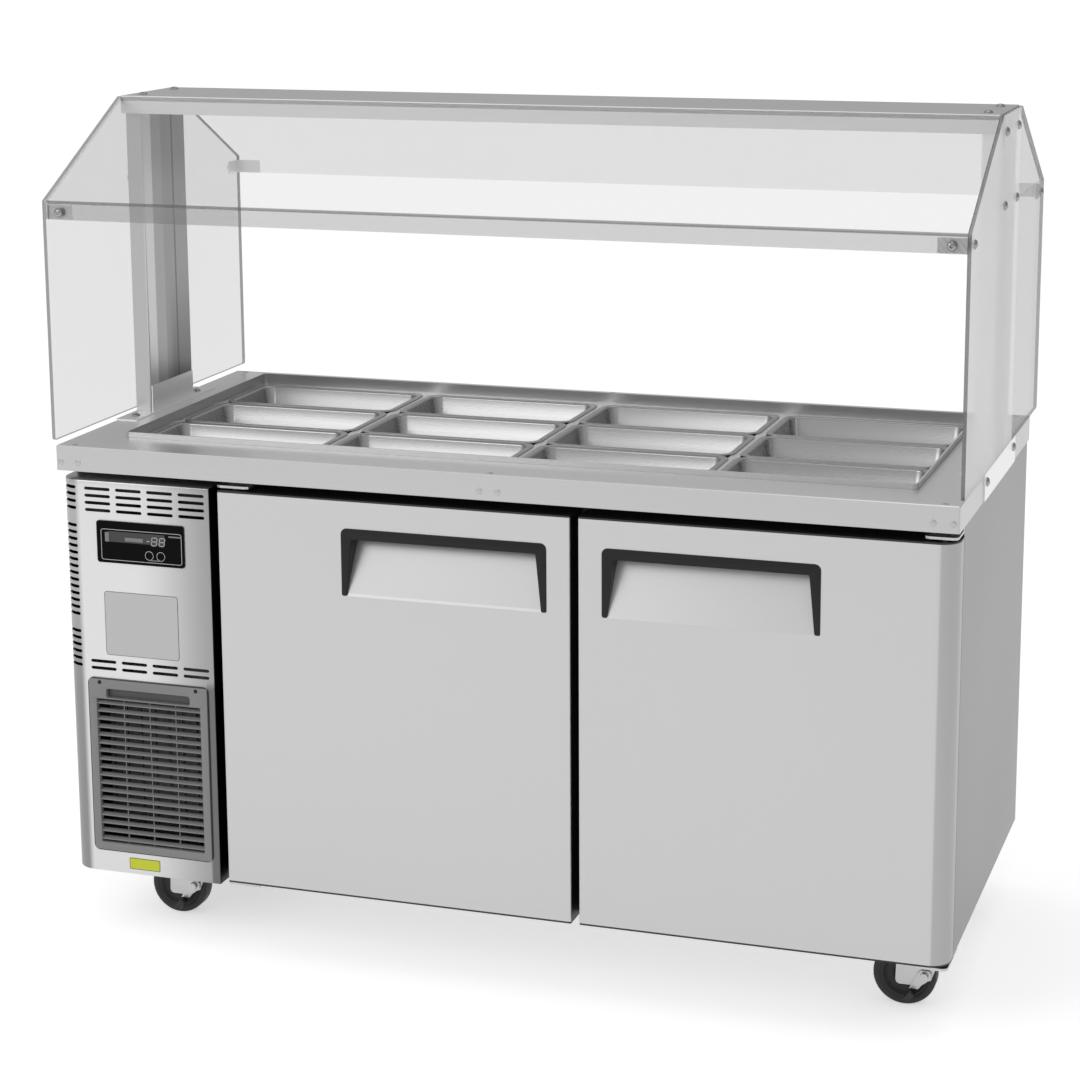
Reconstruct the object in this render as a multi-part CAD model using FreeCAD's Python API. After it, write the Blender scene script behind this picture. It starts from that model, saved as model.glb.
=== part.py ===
"""Mobile salad bar: a refrigerated two-door base on casters, a well of lift-out pans and a clear guard.

Millimetres. +X to the right, +Y to the back, +Z up. The origin is on the floor, under the centre of the
well and of the guard. Each function below builds one node, as one solid or as a group of separate solids.
"""
import FreeCAD, Part
import math
import os

Vec = FreeCAD.Vector
MITRED = 1                 # pipe joint style with sharp corners

# ---------------------------------------------------------------- driving dimensions
# worktop
TOP_LENGTH = 1499.0        # worktop, end to end
TOP_DEPTH = 711.0          # worktop, front to back
TOP_HEIGHT = 855.0         # floor to worktop surface
FASCIA = 42.0              # folded edge below the surface
SHEET = 1.5                # stainless sheet
EDGE_ROUND = 2.5           # outside bend of folded sheet
TOP_BEVEL = 1.4            # top edges of the worktop

# well and pans
LIP_RISE = 9.0             # raised lip round the cut-out
LIP_WALL = 3.0
PAN_DROP = 9.0             # pan rims hang this far below the worktop surface
LEDGE_X = 12.0             # ledge at the ends
LEDGE_Y = 19.5             # ledge along the front and back
SKIRT = 48.0               # liner skirt below the ledge
SKIRT_CLEAR = 5.5          # skirt to the inside of the front wall
WELL_CORNER = 8.0
PAN_COLUMNS = 4
PAN_ROWS = 3
PAN_LENGTH = 325.0         # third-size pan, over its rim
PAN_WIDTH = 176.0
PAN_DEEP = 102.0
PAN_RIM = 9.0              # flat rim outside the pan's mouth
PAN_RIM_THICK = 2.0
PAN_WALL = 1.2
PAN_TAPER = 8.0            # how far each wall leans in by the floor
PAN_CORNER = 20.0
PAN_PITCH_X = PAN_LENGTH + 8.0
PAN_PITCH_Y = PAN_WIDTH + 2.0
WELL_LENGTH = PAN_COLUMNS * PAN_PITCH_X + 7.0
WELL_WIDTH = PAN_ROWS * PAN_PITCH_Y + 31.0
BAR_WIDTH = 17.0           # divider bar
BAR_HEIGHT = 14.0

# cabinet
BASE_BOTTOM = 122.0        # underside of the cabinet
END_INSET = 3.0            # cabinet sides inside the worktop's ends
WALL = 45.0                # insulated wall
FLOOR_WALL = 50.0
HEADER = 68.0              # front rail above the door opening
WELL_FLOOR = 710.0         # inside floor of the well over the machine bay
WELL_FLOOR_WALL = 40.0
BAY_WIDTH = 271.5          # machine bay, inside
BULKHEAD = 60.0            # insulated wall between machine bay and cold room
MULLION = 60.0
VENT_COUNT = 10            # slots in the machine bay's back
VENT_INSET = 50.0
VENT_FROM_BASE = 90.0
VENT_PITCH = 40.0
VENT_HEIGHT = 12.0

# doors
DOOR_THICK = 52.0
DOOR_INSET = 1.0           # door face behind the worktop's front edge
DOOR_TOP = 797.5
DOOR_BOTTOM = 125.0
LEFT_DOOR_WIDER = 9.6      # left door's plan width over the right one's
DOOR_GAP = 13.5
DOOR_CORNER = 32.0         # rounded outer corner of the right door
LINER_THICK = 4.0
CAP_THICK = 3.0
DYKE = 6.0                 # raised rib round the inside of the door
DYKE_GAP = 6.0             # gasket to rib
DYKE_WIDTH = 24.0
GASKET_THICK = 8.5
GASKET_WIDTH = 16.0
GASKET_HINGE_INSET = 26.0
GASKET_FREE_INSET = 4.0
GASKET_END_INSET = 10.0
GASKET_CORNER = 4.0
GASKET_CLEAR = 0.5         # a shut gasket to the cabinet's face

# hinges
PIVOT_FROM_EDGE = 24.0
PIVOT_FROM_FACE = 22.0
PIN_RADIUS = 5.0
PIN_CLEARANCE = 0.05
PIN_REACH = 15.0
HINGE_PLATE = 4.0
HINGE_WIDTH = 60.0
HINGE_GAP = 3.0            # plate to door end
HINGE_NOSE = 14.0          # plate in front of the pin's axis
HINGE_CORNER = 8.0
HINGE_FOOT = 40.0          # lower plate under the cabinet
HINGE_RIB = 2.0

# handle scoops
HANDLE_LENGTH = 347.0
HANDLE_HEIGHT = 112.0
HANDLE_FROM_TOP = 47.0
HANDLE_FROM_EDGE = 38.5
HANDLE_DEPTH = 40.0
HANDLE_BAR = 18.0
HANDLE_LEG_TOP = 17.0
HANDLE_LEG_TIP = 9.0
HANDLE_WALL = 3.0
HANDLE_PROUD = 1.5
HANDLE_CORNER = 9.0
HANDLE_TIP_ROUND = 3.0
HANDLE_INSIDE_ROUND = 2.0
HANDLE_BEVEL = 1.0

# louvre panel in front of the machine bay
PANEL_WIDTH = 274.5
PANEL_TO_DOOR = 14.5
PANEL_TOP = 799.0
PANEL_BOTTOM = 118.0
PANEL_CORNER = 35.0
PANEL_CORNER_STEPS = 3     # chords in the rounded corner that the slots run round
PANEL_SHEET = 1.5
BAY_FRAME = 20.0           # folded frame behind the louvre panel
LINER_FIT = 0.5            # gap round the well liner in the cut-outs
SLOT_COLUMNS = 4
SLOT_LENGTH = 47.0
SLOT_HEIGHT = 5.4
SLOT_END = 1.8             # cut-off corners of a slot
SLOT_TOP_ROWS = 4
SLOT_LOW_ROWS = 2
SLOT_PITCH_X = 56.8
SLOT_PITCH_Z = 12.1
SLOT_FROM_SIDE = 48.0      # first slot, from the panel's outer side
SLOT_TOP_Z = 785.5
SLOT_LOW_Z = 489.5
CORNER_SLOT_GROUPS = ((786.0, 4), (721.0, 14), (539.0, 6))
CORNER_SLOT_PITCH = 11.7
CORNER_SLOT_SHORT = 3.0    # corner slots end this far before the flats

# intake grille
GRILLE_WIDTH = 221.0
GRILLE_HEIGHT = 305.0
GRILLE_TOP = 461.0
GRILLE_FROM_SIDE = 152.0   # middle of the grille, from the panel's outer side
GRILLE_THICK = 12.0
GRILLE_PROUD = 3.0
GRILLE_CORNER = 10.0
GRILLE_FIT = 0.5
GRILLE_BORDER = 15.0
GRILLE_HEAD = 36.0         # solid band with the finger slot
BLADE_COUNT = 18
BLADE_THICK = 3.0
BLADE_DROP = 8.0           # each blade's front edge hangs below its back edge
BLADE_SETBACK = 1.5        # blades behind the flange's face and before the body's back
BLADE_SUNK = 1.0           # blades and ribs into the frame
RIB_COUNT = 3
RIB_WIDTH = 4.0
FINGER_LENGTH = 154.0
FINGER_HEIGHT = 16.0
FINGER_DROP = 18.0

# controller
BEZEL_WIDTH = 159.0
BEZEL_HEIGHT = 71.0
BEZEL_TOP = 733.0
BEZEL_FROM_SIDE = 148.5    # middle of the bezel, from the panel's outer side
BEZEL_PROUD = 2.5
BEZEL_BOX = 34.0
BEZEL_BORDER = 5.0
BEZEL_CORNER = 4.0
BEZEL_FIT = 0.5
WINDOW_WIDTH = 104.0
WINDOW_HEIGHT = 18.0
WINDOW_DROP = 17.0
WINDOW_THICK = 2.0
WINDOW_SUNK = 0.2
WINDOW_OFFSET_X = -7.0
BUTTON_RADIUS = 6.5
BUTTON_SIDES = 24
BUTTON_TRAVEL = 1.5
BUTTON_OFFSETS_X = (16.0, 37.0)
BUTTON_DROP = 54.0
BUTTON_CLEARANCE = 0.4
BUTTON_LENGTH = 12.0
BUTTON_STOP = 1.0

# sneeze guard, heights above the worktop surface
GUARD_HALF_DEPTH = 373.0
GUARD_TOP = 554.0
GUARD_FOLD = 405.0
GUARD_LIP = 30.0
GUARD_FOOT = 8.0
GLASS = 6.0
SCREEN_BEND = 12.0
GLASS_CORNER = 4.0
SHELF_WIDTH = 196.0
SHELF_LIP = 30.0
POST_WIDTH = 165.0
POST_DEPTH = 30.0
POST_LIP = 38.0            # in-turned lips of the post that the end glass lies against
BRACKET_SHEET = 2.0
BRACKET_LENGTH = 312.0
BRACKET_WIDTH = 38.0
BRACKET_UPSTAND = 48.0
CORNER_LEG = 45.0
CORNER_HEIGHT = 23.0
CORNER_SCREW = 23.0        # screw from the outer corner of its bracket leg
SCREW_RADIUS = 6.5
SCREW_TOP_RADIUS = 4.5
SCREW_HEIGHT = 4.0
SCREW_SIDES = 6
POST_SCREW_Y = 60.0
POST_SCREW_HEIGHTS = (410.0, 525.0)
SHELF_SCREW_INSET = 24.0
FASCIA_SCREW_Y = 136.0
FASCIA_SCREW_DOWN = FASCIA / 3
FLANGE_SCREW_Y = 120.0

# casters
WHEEL_RADIUS = 51.0
WHEEL_WIDTH = 32.0
WHEEL_ROUND = 5.0
WHEEL_SIDES = 32
HUB_RADIUS = 15.0
HUB_LENGTH = 38.0
HUB_SIDES = 12
AXLE_RADIUS = 5.0
TRAIL = 36.0
CASTER_FROM_LEFT = 166.0   # swivel axes from the worktop's ends
CASTER_FROM_RIGHT = 55.5
CASTER_FROM_FACE = 88.0    # swivel axes behind the cabinet's face
CASTER_FROM_BACK = 150.0   # swivel axes before the worktop's back edge
PLATE_LENGTH = 100.0
PLATE_WIDTH = 85.0
PLATE_THICK = 4.0
PLATE_CORNER = 8.0
RACE_RADIUS = 29.0
RACE_GAP = 0.5
RACE_CUP = 3.0             # upper race below its plate
RACE_STEP = 3.0            # lower race inside the upper one's radius
RACE_SIDES = 12
FORK_SHEET = 3.0
FORK_GAP = 1.0             # wheel hub to fork leg
LEG_ROUND = 13.0           # leg's lower end about the axle
LEG_KNEE = 8.0
CROWN_CLEAR = 2.5          # wheel top to fork crown
LEVER_THICK = 3.0
LEVER_GAP = 1.0
LEVER_PIN = 3.5
NUT_RADIUS = 6.65
NUT_SIDES = 6
NUT_HEIGHT = 5.0
LEVER_PIVOT_Z = 57.0
LEVER_PIVOT_BACK = 2.0       # from the swivel's axis toward the wheel
# lever and foot pad, X and Z from the lever's pivot
LEVER_OUTLINE = ((-31, -36), (-22, -41), (-4, -16), (5, -9), (10, -4), (11, 4), (7, 9), (-5, 9), (-10, 4))
FOOT_OUTLINE = ((-31, -36), (-22, -41), (-13, -29), (-22, -24))
FOOT_WIDTH = 14.0

# shelves
SHELF_HEIGHT = 420.0
SHELF_WIRE = 5.0
SHELF_BAR = 8.0            # bars under the wires
SHELF_WIRES = 10
SHELF_DEPTH = 500.0
SHELF_CLEAR = 12.0
EVAP_TO_SHELF = 24.0
RAIL_WIDTH = 16.0
RAIL_THICK = 4.0
RAIL_INSET = 40.0
RAIL_FOOT = 20.0
CLIP_HEIGHT = 10.0
CLIP_REACH = 18.0

# refrigeration
COIL_WIDTH = 220.0
COIL_HEIGHT = 280.0
COIL_THICK = 44.0
COIL_FINS = 7
COIL_FIN = 2.0
COIL_END = 6.0             # end plates
COIL_FOOT = 12.0           # fin pack above the tray
COIL_FROM_FACE = 8.0
FAN_RADIUS = 88.0
FAN_HUB = 24.0
FAN_SIDES = 12
FAN_BLADES = 5
FAN_DEPTH = 26.0
NOSE_RADIUS = 6.0
NOSE_PROUD = 3.0
BLADE_SHARE = 0.55         # blade width over fan radius
BLADE_ROOT = 4.0           # blades into the hub
BLADE_SHEET = 2.0
BLADE_PITCH = 28.0
SHROUD_THICK = 40.0
SHROUD_CLEAR = 5.0
THROAT_SIDES = 24
MOTOR_GAP = 2.0
MOTOR_PROUD = 14.0
STRUT_HALF = 8.0
CAN_RADIUS = 78.0
CAN_SIDES = 24
CAN_HEIGHT = 170.0
CAN_SLOPE = 26.0           # sloped shoulder of the can
CAN_SEAM = 5.0
CAN_FOOT = 14.0
CAN_FROM_BACK = 170.0
CAN_PLATE_X = 200.0
CAN_PLATE_Y = 140.0
CAN_PLATE_THICK = 8.0
FOOT_RADIUS = 13.0
FOOT_SIDES = 6
TERMINAL_SIZE = 60.0
TERMINAL_PROUD = 24.0
EVAP_THICK = 56.0
EVAP_WIDTH = 420.0
EVAP_HEIGHT = 240.0
EVAP_DROP = 60.0           # coil below the door opening's top
EVAP_MARGIN = 10.0         # hood past the coil
EVAP_COIL_THICK = 20.0
EVAP_END_PROUD = 2.0         # end plates past the fins
EVAP_FAN_FROM_WALL = 40.0
EVAP_FAN_RADIUS = 62.0
EVAP_FAN_DEPTH = 18.2
HOOD_SHEET = 2.0
OUTLET_LAP = 6.0
PIPE_RADIUS = 5.0
PIPE_SIDES = 6
PIPE_BEND = 18.0
PIPE_RISE = 40.0           # top run above the coil
PIPE_FROM_EDGE = 30.0
PIPE_APART = 40.0

# ---------------------------------------------------------------- derived places
HALF = TOP_LENGTH / 2
SKIRT_OUT = WELL_WIDTH / 2 - LIP_WALL - LEDGE_Y + SHEET     # skirt's outside from the well's centre line
FACE = -SKIRT_OUT - SKIRT_CLEAR - WALL               # carcass front face
DOOR_BACK = FACE - GASKET_CLEAR - GASKET_THICK
DOOR_FRONT = DOOR_BACK - DOOR_THICK
FRONT = DOOR_FRONT - DOOR_INSET
BACK = FRONT + TOP_DEPTH
SIDE = HALF - END_INSET                     # cabinet's outer sides
BASE_BACK = BACK - END_INSET
PANEL_LEFT_X = -HALF + DOOR_INSET
PANEL_RIGHT_X = PANEL_LEFT_X + PANEL_WIDTH
DOOR_LEFT_X = PANEL_RIGHT_X + PANEL_TO_DOOR          # left door, hinge edge
DOOR_RIGHT_X = HALF - DOOR_INSET                     # right door, hinge edge
DOOR_MEET_X = (DOOR_LEFT_X + DOOR_RIGHT_X + LEFT_DOOR_WIDER) / 2
GRILLE_CENTRE_X = PANEL_LEFT_X + GRILLE_FROM_SIDE
BEZEL_CENTRE_X = PANEL_LEFT_X + BEZEL_FROM_SIDE
CASTER_LEFT_X = -HALF + CASTER_FROM_LEFT
CASTER_RIGHT_X = HALF - CASTER_FROM_RIGHT
BULKHEAD_X = -SIDE + BAY_WIDTH + SHEET      # machine bay side of the bulkhead
ROOM_LEFT = BULKHEAD_X + BULKHEAD
ROOM_RIGHT = SIDE - WALL
ROOM_BACK = BASE_BACK - WALL
ROOM_FLOOR = BASE_BOTTOM + FLOOR_WALL
SHEET_UNDER = TOP_HEIGHT - SHEET
FASCIA_BOTTOM = TOP_HEIGHT - FASCIA
OPENING_TOP = FASCIA_BOTTOM - HEADER
LEDGE_TOP = TOP_HEIGHT - PAN_DROP - PAN_RIM_THICK
GLASS_OUT = HALF + GLASS                    # outer face of an end glass
PIVOT_Y = DOOR_FRONT + PIVOT_FROM_FACE


# ---------------------------------------------------------------- solid helpers
def box(x0, x1, y0, y1, z0, z1):
    """A block between two corners."""
    low = Vec(min(x0, x1), min(y0, y1), min(z0, z1))
    return Part.makeBox(abs(x1 - x0), abs(y1 - y0), abs(z1 - z0), low)


def rod(radius, start, end):
    """A round bar from one point to another."""
    along = Vec(*end) - Vec(*start)
    return Part.makeCylinder(radius, along.Length, Vec(*start), along)


def rounded_wire(points, radii):
    """A closed wire through the points, each corner rounded by its radius where that isn't zero."""
    edges = []
    starts, ends = [], []
    count = len(points)
    for i, corner in enumerate(points):
        before, after, radius = points[i - 1], points[(i + 1) % count], radii[i]
        to_before = (before - corner).normalize()
        to_after = (after - corner).normalize()
        half_angle = to_before.getAngle(to_after) / 2
        reach = radius / math.tan(half_angle) if radius else 0.0
        start, end = corner + to_before * reach, corner + to_after * reach
        starts.append(start)
        ends.append(end)
        if radius:
            middle_way = (to_before + to_after).normalize()
            middle = corner + middle_way * (radius / math.sin(half_angle) - radius)
            edges.append(Part.Arc(start, middle, end).toShape())
    for i in range(count):
        start, end = ends[i], starts[(i + 1) % count]
        if (end - start).Length > 1e-6:
            edges.append(Part.LineSegment(start, end).toShape())
    return Part.Wire(Part.__sortEdges__(edges))


def prism(plane, points, start, end, radii=0.0):
    """A 2D outline in the plane "XY", "YZ" or "XZ", carried along the remaining axis from start to end."""
    place = {
        "XY": lambda a, b: Vec(a, b, start),
        "YZ": lambda a, b: Vec(start, a, b),
        "XZ": lambda a, b: Vec(a, start, b),
    }[plane]
    way = {"XY": Vec(0, 0, 1), "YZ": Vec(1, 0, 0), "XZ": Vec(0, 1, 0)}[plane]
    corners = [place(a, b) for a, b in points]
    if not isinstance(radii, (list, tuple)):
        radii = [radii] * len(corners)
    face = Part.Face(rounded_wire(corners, radii))
    return face.extrude(way * (end - start))


def rectangle(a0, a1, b0, b1):
    """The corners of a rectangle, for prism."""
    return [(a0, b0), (a1, b0), (a1, b1), (a0, b1)]


def faceted(points, radii, steps=2):
    """The outline with each corner's arc replaced by a few chords."""
    if not isinstance(radii, (list, tuple)):
        radii = [radii] * len(points)
    outline = []
    for i, radius in enumerate(radii):
        corner = Vec(*points[i], 0)
        to_before = (Vec(*points[i - 1], 0) - corner).normalize()
        to_after = (Vec(*points[(i + 1) % len(points)], 0) - corner).normalize()
        half_angle = to_before.getAngle(to_after) / 2
        centre = corner + (to_before + to_after).normalize() * (radius / math.sin(half_angle))
        reach = radius / math.tan(half_angle)
        start, end = corner + to_before * reach - centre, corner + to_after * reach - centre
        turn = math.copysign(math.pi - 2 * half_angle, start.cross(end).z)
        for step in range(steps + 1 if radius else 1):
            angle = turn * step / steps
            x = start.x * math.cos(angle) - start.y * math.sin(angle)
            y = start.x * math.sin(angle) + start.y * math.cos(angle)
            outline.append((centre.x + x, centre.y + y))
    return outline


def ring(radius, sides, centre, way):
    """The corners of a regular polygon round an axis, the first one straight across the axis."""
    turn = FreeCAD.Rotation(Vec(0, 0, 1), Vec(*way))
    angles = [2 * math.pi * i / sides for i in range(sides)]
    return [Vec(*centre) + turn.multVec(Vec(math.cos(a), math.sin(a), 0)) * radius for a in angles]


def polygon_face(corners):
    """A flat face between corners."""
    return Part.Face(Part.makePolygon(corners + corners[:1]))


def faceted_loft(rings):
    """A solid through rings of equally many corners, with a flat face between each two neighbours."""
    faces = [polygon_face(rings[0]), polygon_face(rings[-1])]
    for low, high in zip(rings, rings[1:]):
        for i, corner in enumerate(low):
            faces.append(polygon_face([low[i - 1], corner, high[i], high[i - 1]]))
    shell = Part.makeShell(faces)
    shell.sewShape()
    solid = Part.makeSolid(shell)
    if solid.Volume < 0:
        solid.reverse()
    return solid


def sided_rod(radius, sides, start, end):
    """A bar of a regular many-sided section from one point to another."""
    along = Vec(*end) - Vec(*start)
    return polygon_face(ring(radius, sides, start, along)).extrude(along)


def mirrored(shape):
    """The same shape on the other side of the X = 0 plane."""
    return shape.mirror(Vec(0, 0, 0), Vec(1, 0, 0))


def mirrored_y(shape):
    """The same shape on the other side of the Y = 0 plane."""
    return shape.mirror(Vec(0, 0, 0), Vec(0, 1, 0))


def group(solids):
    """Separate solids that share a node."""
    return Part.makeCompound(solids)


def fuse(first, others):
    """One solid from touching or overlapping pieces."""
    return first.multiFuse(list(others)).removeSplitter()


# ---------------------------------------------------------------- worktop, well and pans
def well_block(margin, z0, z1):
    """A block of the well's outline grown by a margin all round."""
    half_x = WELL_LENGTH / 2 + margin
    half_y = WELL_WIDTH / 2 + margin
    outline = faceted(rectangle(-half_x, half_x, -half_y, half_y), WELL_CORNER + margin)
    return prism("XY", outline, z0, z1)


def worktop():
    """Sheet top with a folded fascia on four sides, bevelled top edges and one long cut-out."""
    outline = faceted(rectangle(-HALF, HALF, FRONT, BACK), EDGE_ROUND)
    outside = prism("XY", outline, FASCIA_BOTTOM, TOP_HEIGHT)
    rim = [edge for edge in outside.Edges if edge.BoundBox.ZMin > TOP_HEIGHT - SHEET]
    outside = outside.makeChamfer(TOP_BEVEL, rim)
    inside = box(-HALF + SHEET, HALF - SHEET, FRONT + SHEET, BACK - SHEET, FASCIA_BOTTOM, SHEET_UNDER)
    return outside.cut(inside).cut(well_block(LINER_FIT, FASCIA_BOTTOM, TOP_HEIGHT))


def well_liner():
    """Raised lip, pan ledge and short skirt round the cut-out."""
    lip_bottom = LEDGE_TOP - SHEET
    lip = well_block(0, lip_bottom, TOP_HEIGHT + LIP_RISE)
    lip = lip.cut(well_block(-LIP_WALL, LEDGE_TOP, TOP_HEIGHT + LIP_RISE))
    hole_x = WELL_LENGTH / 2 - LIP_WALL - LEDGE_X
    hole_y = WELL_WIDTH / 2 - LIP_WALL - LEDGE_Y
    hole_outline = faceted(rectangle(-hole_x, hole_x, -hole_y, hole_y), WELL_CORNER)
    hole = prism("XY", hole_outline, lip_bottom - SKIRT, LEDGE_TOP)
    wall_x, wall_y = hole_x + SHEET, hole_y + SHEET
    wall_outline = faceted(rectangle(-wall_x, wall_x, -wall_y, wall_y), WELL_CORNER + SHEET)
    wall = prism("XY", wall_outline, lip_bottom - SKIRT, lip_bottom)
    return fuse(lip, [wall]).cut(hole)


def pan_centre(column, row):
    """Where a pan hangs: columns run left to right, rows front to back."""
    x = (column - (PAN_COLUMNS - 1) / 2) * PAN_PITCH_X
    y = (row - (PAN_ROWS - 1) / 2) * PAN_PITCH_Y
    return x, y


def pan_section(x, y, half_x, half_y, z, corner):
    """The corners of a rounded rectangle about a pan's centre."""
    outline = faceted(rectangle(-half_x, half_x, -half_y, half_y), corner)
    return [Vec(x + a, y + b, z) for a, b in outline]


def pan(column, row):
    """A third-size pan: flat rim, four leaning walls, rounded corners and a flat floor."""
    x, y = pan_centre(column, row)
    rim_top = TOP_HEIGHT - PAN_DROP
    rim_under = rim_top - PAN_RIM_THICK
    floor_z = rim_top - PAN_DEEP
    half_x, half_y = PAN_LENGTH / 2, PAN_WIDTH / 2
    mouth_x, mouth_y = half_x - PAN_RIM, half_y - PAN_RIM
    foot_x, foot_y = mouth_x - PAN_TAPER, mouth_y - PAN_TAPER
    t, inner_corner = PAN_WALL, PAN_CORNER - PAN_WALL
    outside = faceted_loft([
        pan_section(x, y, foot_x, foot_y, floor_z, PAN_CORNER),
        pan_section(x, y, mouth_x, mouth_y, rim_under, PAN_CORNER),
    ])
    rim_corners = pan_section(x, y, half_x, half_y, rim_under, PAN_CORNER + PAN_RIM / 2)
    rim = polygon_face(rim_corners).extrude(Vec(0, 0, PAN_RIM_THICK))
    inside = faceted_loft([
        pan_section(x, y, foot_x - t, foot_y - t, floor_z + t, inner_corner),
        pan_section(x, y, mouth_x - t, mouth_y - t, rim_top, inner_corner),
    ])
    return fuse(outside, [rim]).cut(inside)


def pan_divider_bars():
    """Bars under the rims where two columns of pans meet."""
    half_y = WELL_WIDTH / 2 - LIP_WALL - LEDGE_Y
    bars = []
    for gap in range(1, PAN_COLUMNS):
        x = (gap - PAN_COLUMNS / 2) * PAN_PITCH_X
        bars.append(
            box(x - BAR_WIDTH / 2, x + BAR_WIDTH / 2, -half_y, half_y, LEDGE_TOP - BAR_HEIGHT, LEDGE_TOP)
        )
    return group(bars)


# ---------------------------------------------------------------- cabinet
def cabinet_carcass():
    """Foamed body: the cold room behind the doors, open above to the pans, and the well over the bay."""
    body = box(BULKHEAD_X, SIDE, FACE, BASE_BACK, BASE_BOTTOM, SHEET_UNDER)
    bay_left = -SIDE + SHEET
    over_bay = box(bay_left, BULKHEAD_X, FACE, BASE_BACK, WELL_FLOOR - WELL_FLOOR_WALL, SHEET_UNDER)
    room = box(ROOM_LEFT, ROOM_RIGHT, FACE + WALL, ROOM_BACK, ROOM_FLOOR, TOP_HEIGHT)
    well = box(bay_left + WALL, ROOM_LEFT, FACE + WALL, ROOM_BACK, WELL_FLOOR, TOP_HEIGHT)
    mullion_left = DOOR_MEET_X - MULLION / 2
    mullion_right = DOOR_MEET_X + MULLION / 2
    left_mouth = box(ROOM_LEFT, mullion_left, FACE, FACE + WALL, ROOM_FLOOR, OPENING_TOP)
    right_mouth = box(mullion_right, ROOM_RIGHT, FACE, FACE + WALL, ROOM_FLOOR, OPENING_TOP)
    liner_seat = well_block(LINER_FIT, LEDGE_TOP - SHEET, TOP_HEIGHT)
    return fuse(body, [over_bay]).cut(fuse(room, [well, left_mouth, right_mouth, liner_seat]))


def worktop_front_rail():
    """Dark stiffening rail that fills the worktop's front fold above the doors."""
    return box(
        -HALF + SHEET, HALF - SHEET, FRONT + SHEET, FACE, FASCIA_BOTTOM + SHEET, SHEET_UNDER
    )


def machine_bay_shell():
    """Folded sheet round the machine bay: left side, floor tray, louvred back and front frame."""
    bay_top = WELL_FLOOR - WELL_FLOOR_WALL
    side = box(-SIDE, -SIDE + SHEET, FACE, BASE_BACK, BASE_BOTTOM, FASCIA_BOTTOM)
    floor = box(-SIDE, BULKHEAD_X, FACE, BASE_BACK, BASE_BOTTOM, BASE_BOTTOM + SHEET)
    back = box(-SIDE, BULKHEAD_X, BASE_BACK - SHEET, BASE_BACK, BASE_BOTTOM, bay_top)
    frame_x = -HALF + DOOR_INSET + PANEL_SHEET, PANEL_RIGHT_X - PANEL_SHEET
    frame_z = PANEL_BOTTOM + PANEL_SHEET, PANEL_TOP - PANEL_SHEET
    frame = box(*frame_x, FACE - SHEET, FACE, *frame_z).cut(
        box(
            frame_x[0] + BAY_FRAME, frame_x[1] - BAY_FRAME, FACE - SHEET, FACE,
            frame_z[0] + BAY_FRAME, frame_z[1] - BAY_FRAME,
        )
    )
    shell = fuse(side, [floor, back, frame])
    slot_x = -SIDE + VENT_INSET, BULKHEAD_X - VENT_INSET
    slots = []
    for i in range(VENT_COUNT):
        z = BASE_BOTTOM + VENT_FROM_BASE + VENT_PITCH * i
        slots.append(box(*slot_x, BASE_BACK - 2 * SHEET, BASE_BACK + SHEET, z, z + VENT_HEIGHT))
    return shell.cut(group(slots))


def slot_cutter(x0, x1, z):
    """A long hole with cut-off corners through the louvre panel's front."""
    half = SLOT_HEIGHT / 2
    outline = faceted(rectangle(x0, x1, z - half, z + half), SLOT_END, 1)
    return prism("XZ", outline, DOOR_FRONT - PANEL_SHEET, DOOR_FRONT + 3 * PANEL_SHEET)


def panel_body():
    """The louvre panel before its holes: a bent sheet, open at the back, with one large rounded corner."""
    left, right = PANEL_LEFT_X, PANEL_RIGHT_X
    t = PANEL_SHEET
    outline = [(left, FACE), (left, DOOR_FRONT), (right, DOOR_FRONT), (right, FACE)]
    outline = faceted(outline, [0, PANEL_CORNER, EDGE_ROUND, 0], PANEL_CORNER_STEPS)
    hollow = [(left + t, FACE), (left + t, DOOR_FRONT + t), (right - t, DOOR_FRONT + t), (right - t, FACE)]
    hollow = faceted(hollow, [0, PANEL_CORNER - t, EDGE_ROUND - t, 0], PANEL_CORNER_STEPS)
    inside = prism("XY", hollow, PANEL_BOTTOM + t, PANEL_TOP - t)
    return prism("XY", outline, PANEL_BOTTOM, PANEL_TOP).cut(inside)


def front_slots():
    """Cutters for the rows of slots in the louvre panel's face, above the controller and above the grille."""
    rows = [SLOT_TOP_Z - i * SLOT_PITCH_Z for i in range(SLOT_TOP_ROWS)]
    rows += [SLOT_LOW_Z - i * SLOT_PITCH_Z for i in range(SLOT_LOW_ROWS)]
    starts = [PANEL_LEFT_X + SLOT_FROM_SIDE + i * SLOT_PITCH_X for i in range(SLOT_COLUMNS)]
    return [slot_cutter(x, x + SLOT_LENGTH, z) for z in rows for x in starts]


def corner_slots():
    """Cutters for the slots that run round the louvre panel's large corner."""
    left = PANEL_LEFT_X
    reach = PANEL_CORNER - CORNER_SLOT_SHORT
    cutters = []
    for top, count in CORNER_SLOT_GROUPS:
        for i in range(count):
            z = top - i * CORNER_SLOT_PITCH
            low, high = z - SLOT_HEIGHT / 2, z + SLOT_HEIGHT / 2
            x_span, y_span = (left - SHEET, left + reach), (DOOR_FRONT - SHEET, DOOR_FRONT + reach)
            cutters.append(box(*x_span, *y_span, low, high))
    return cutters


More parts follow.
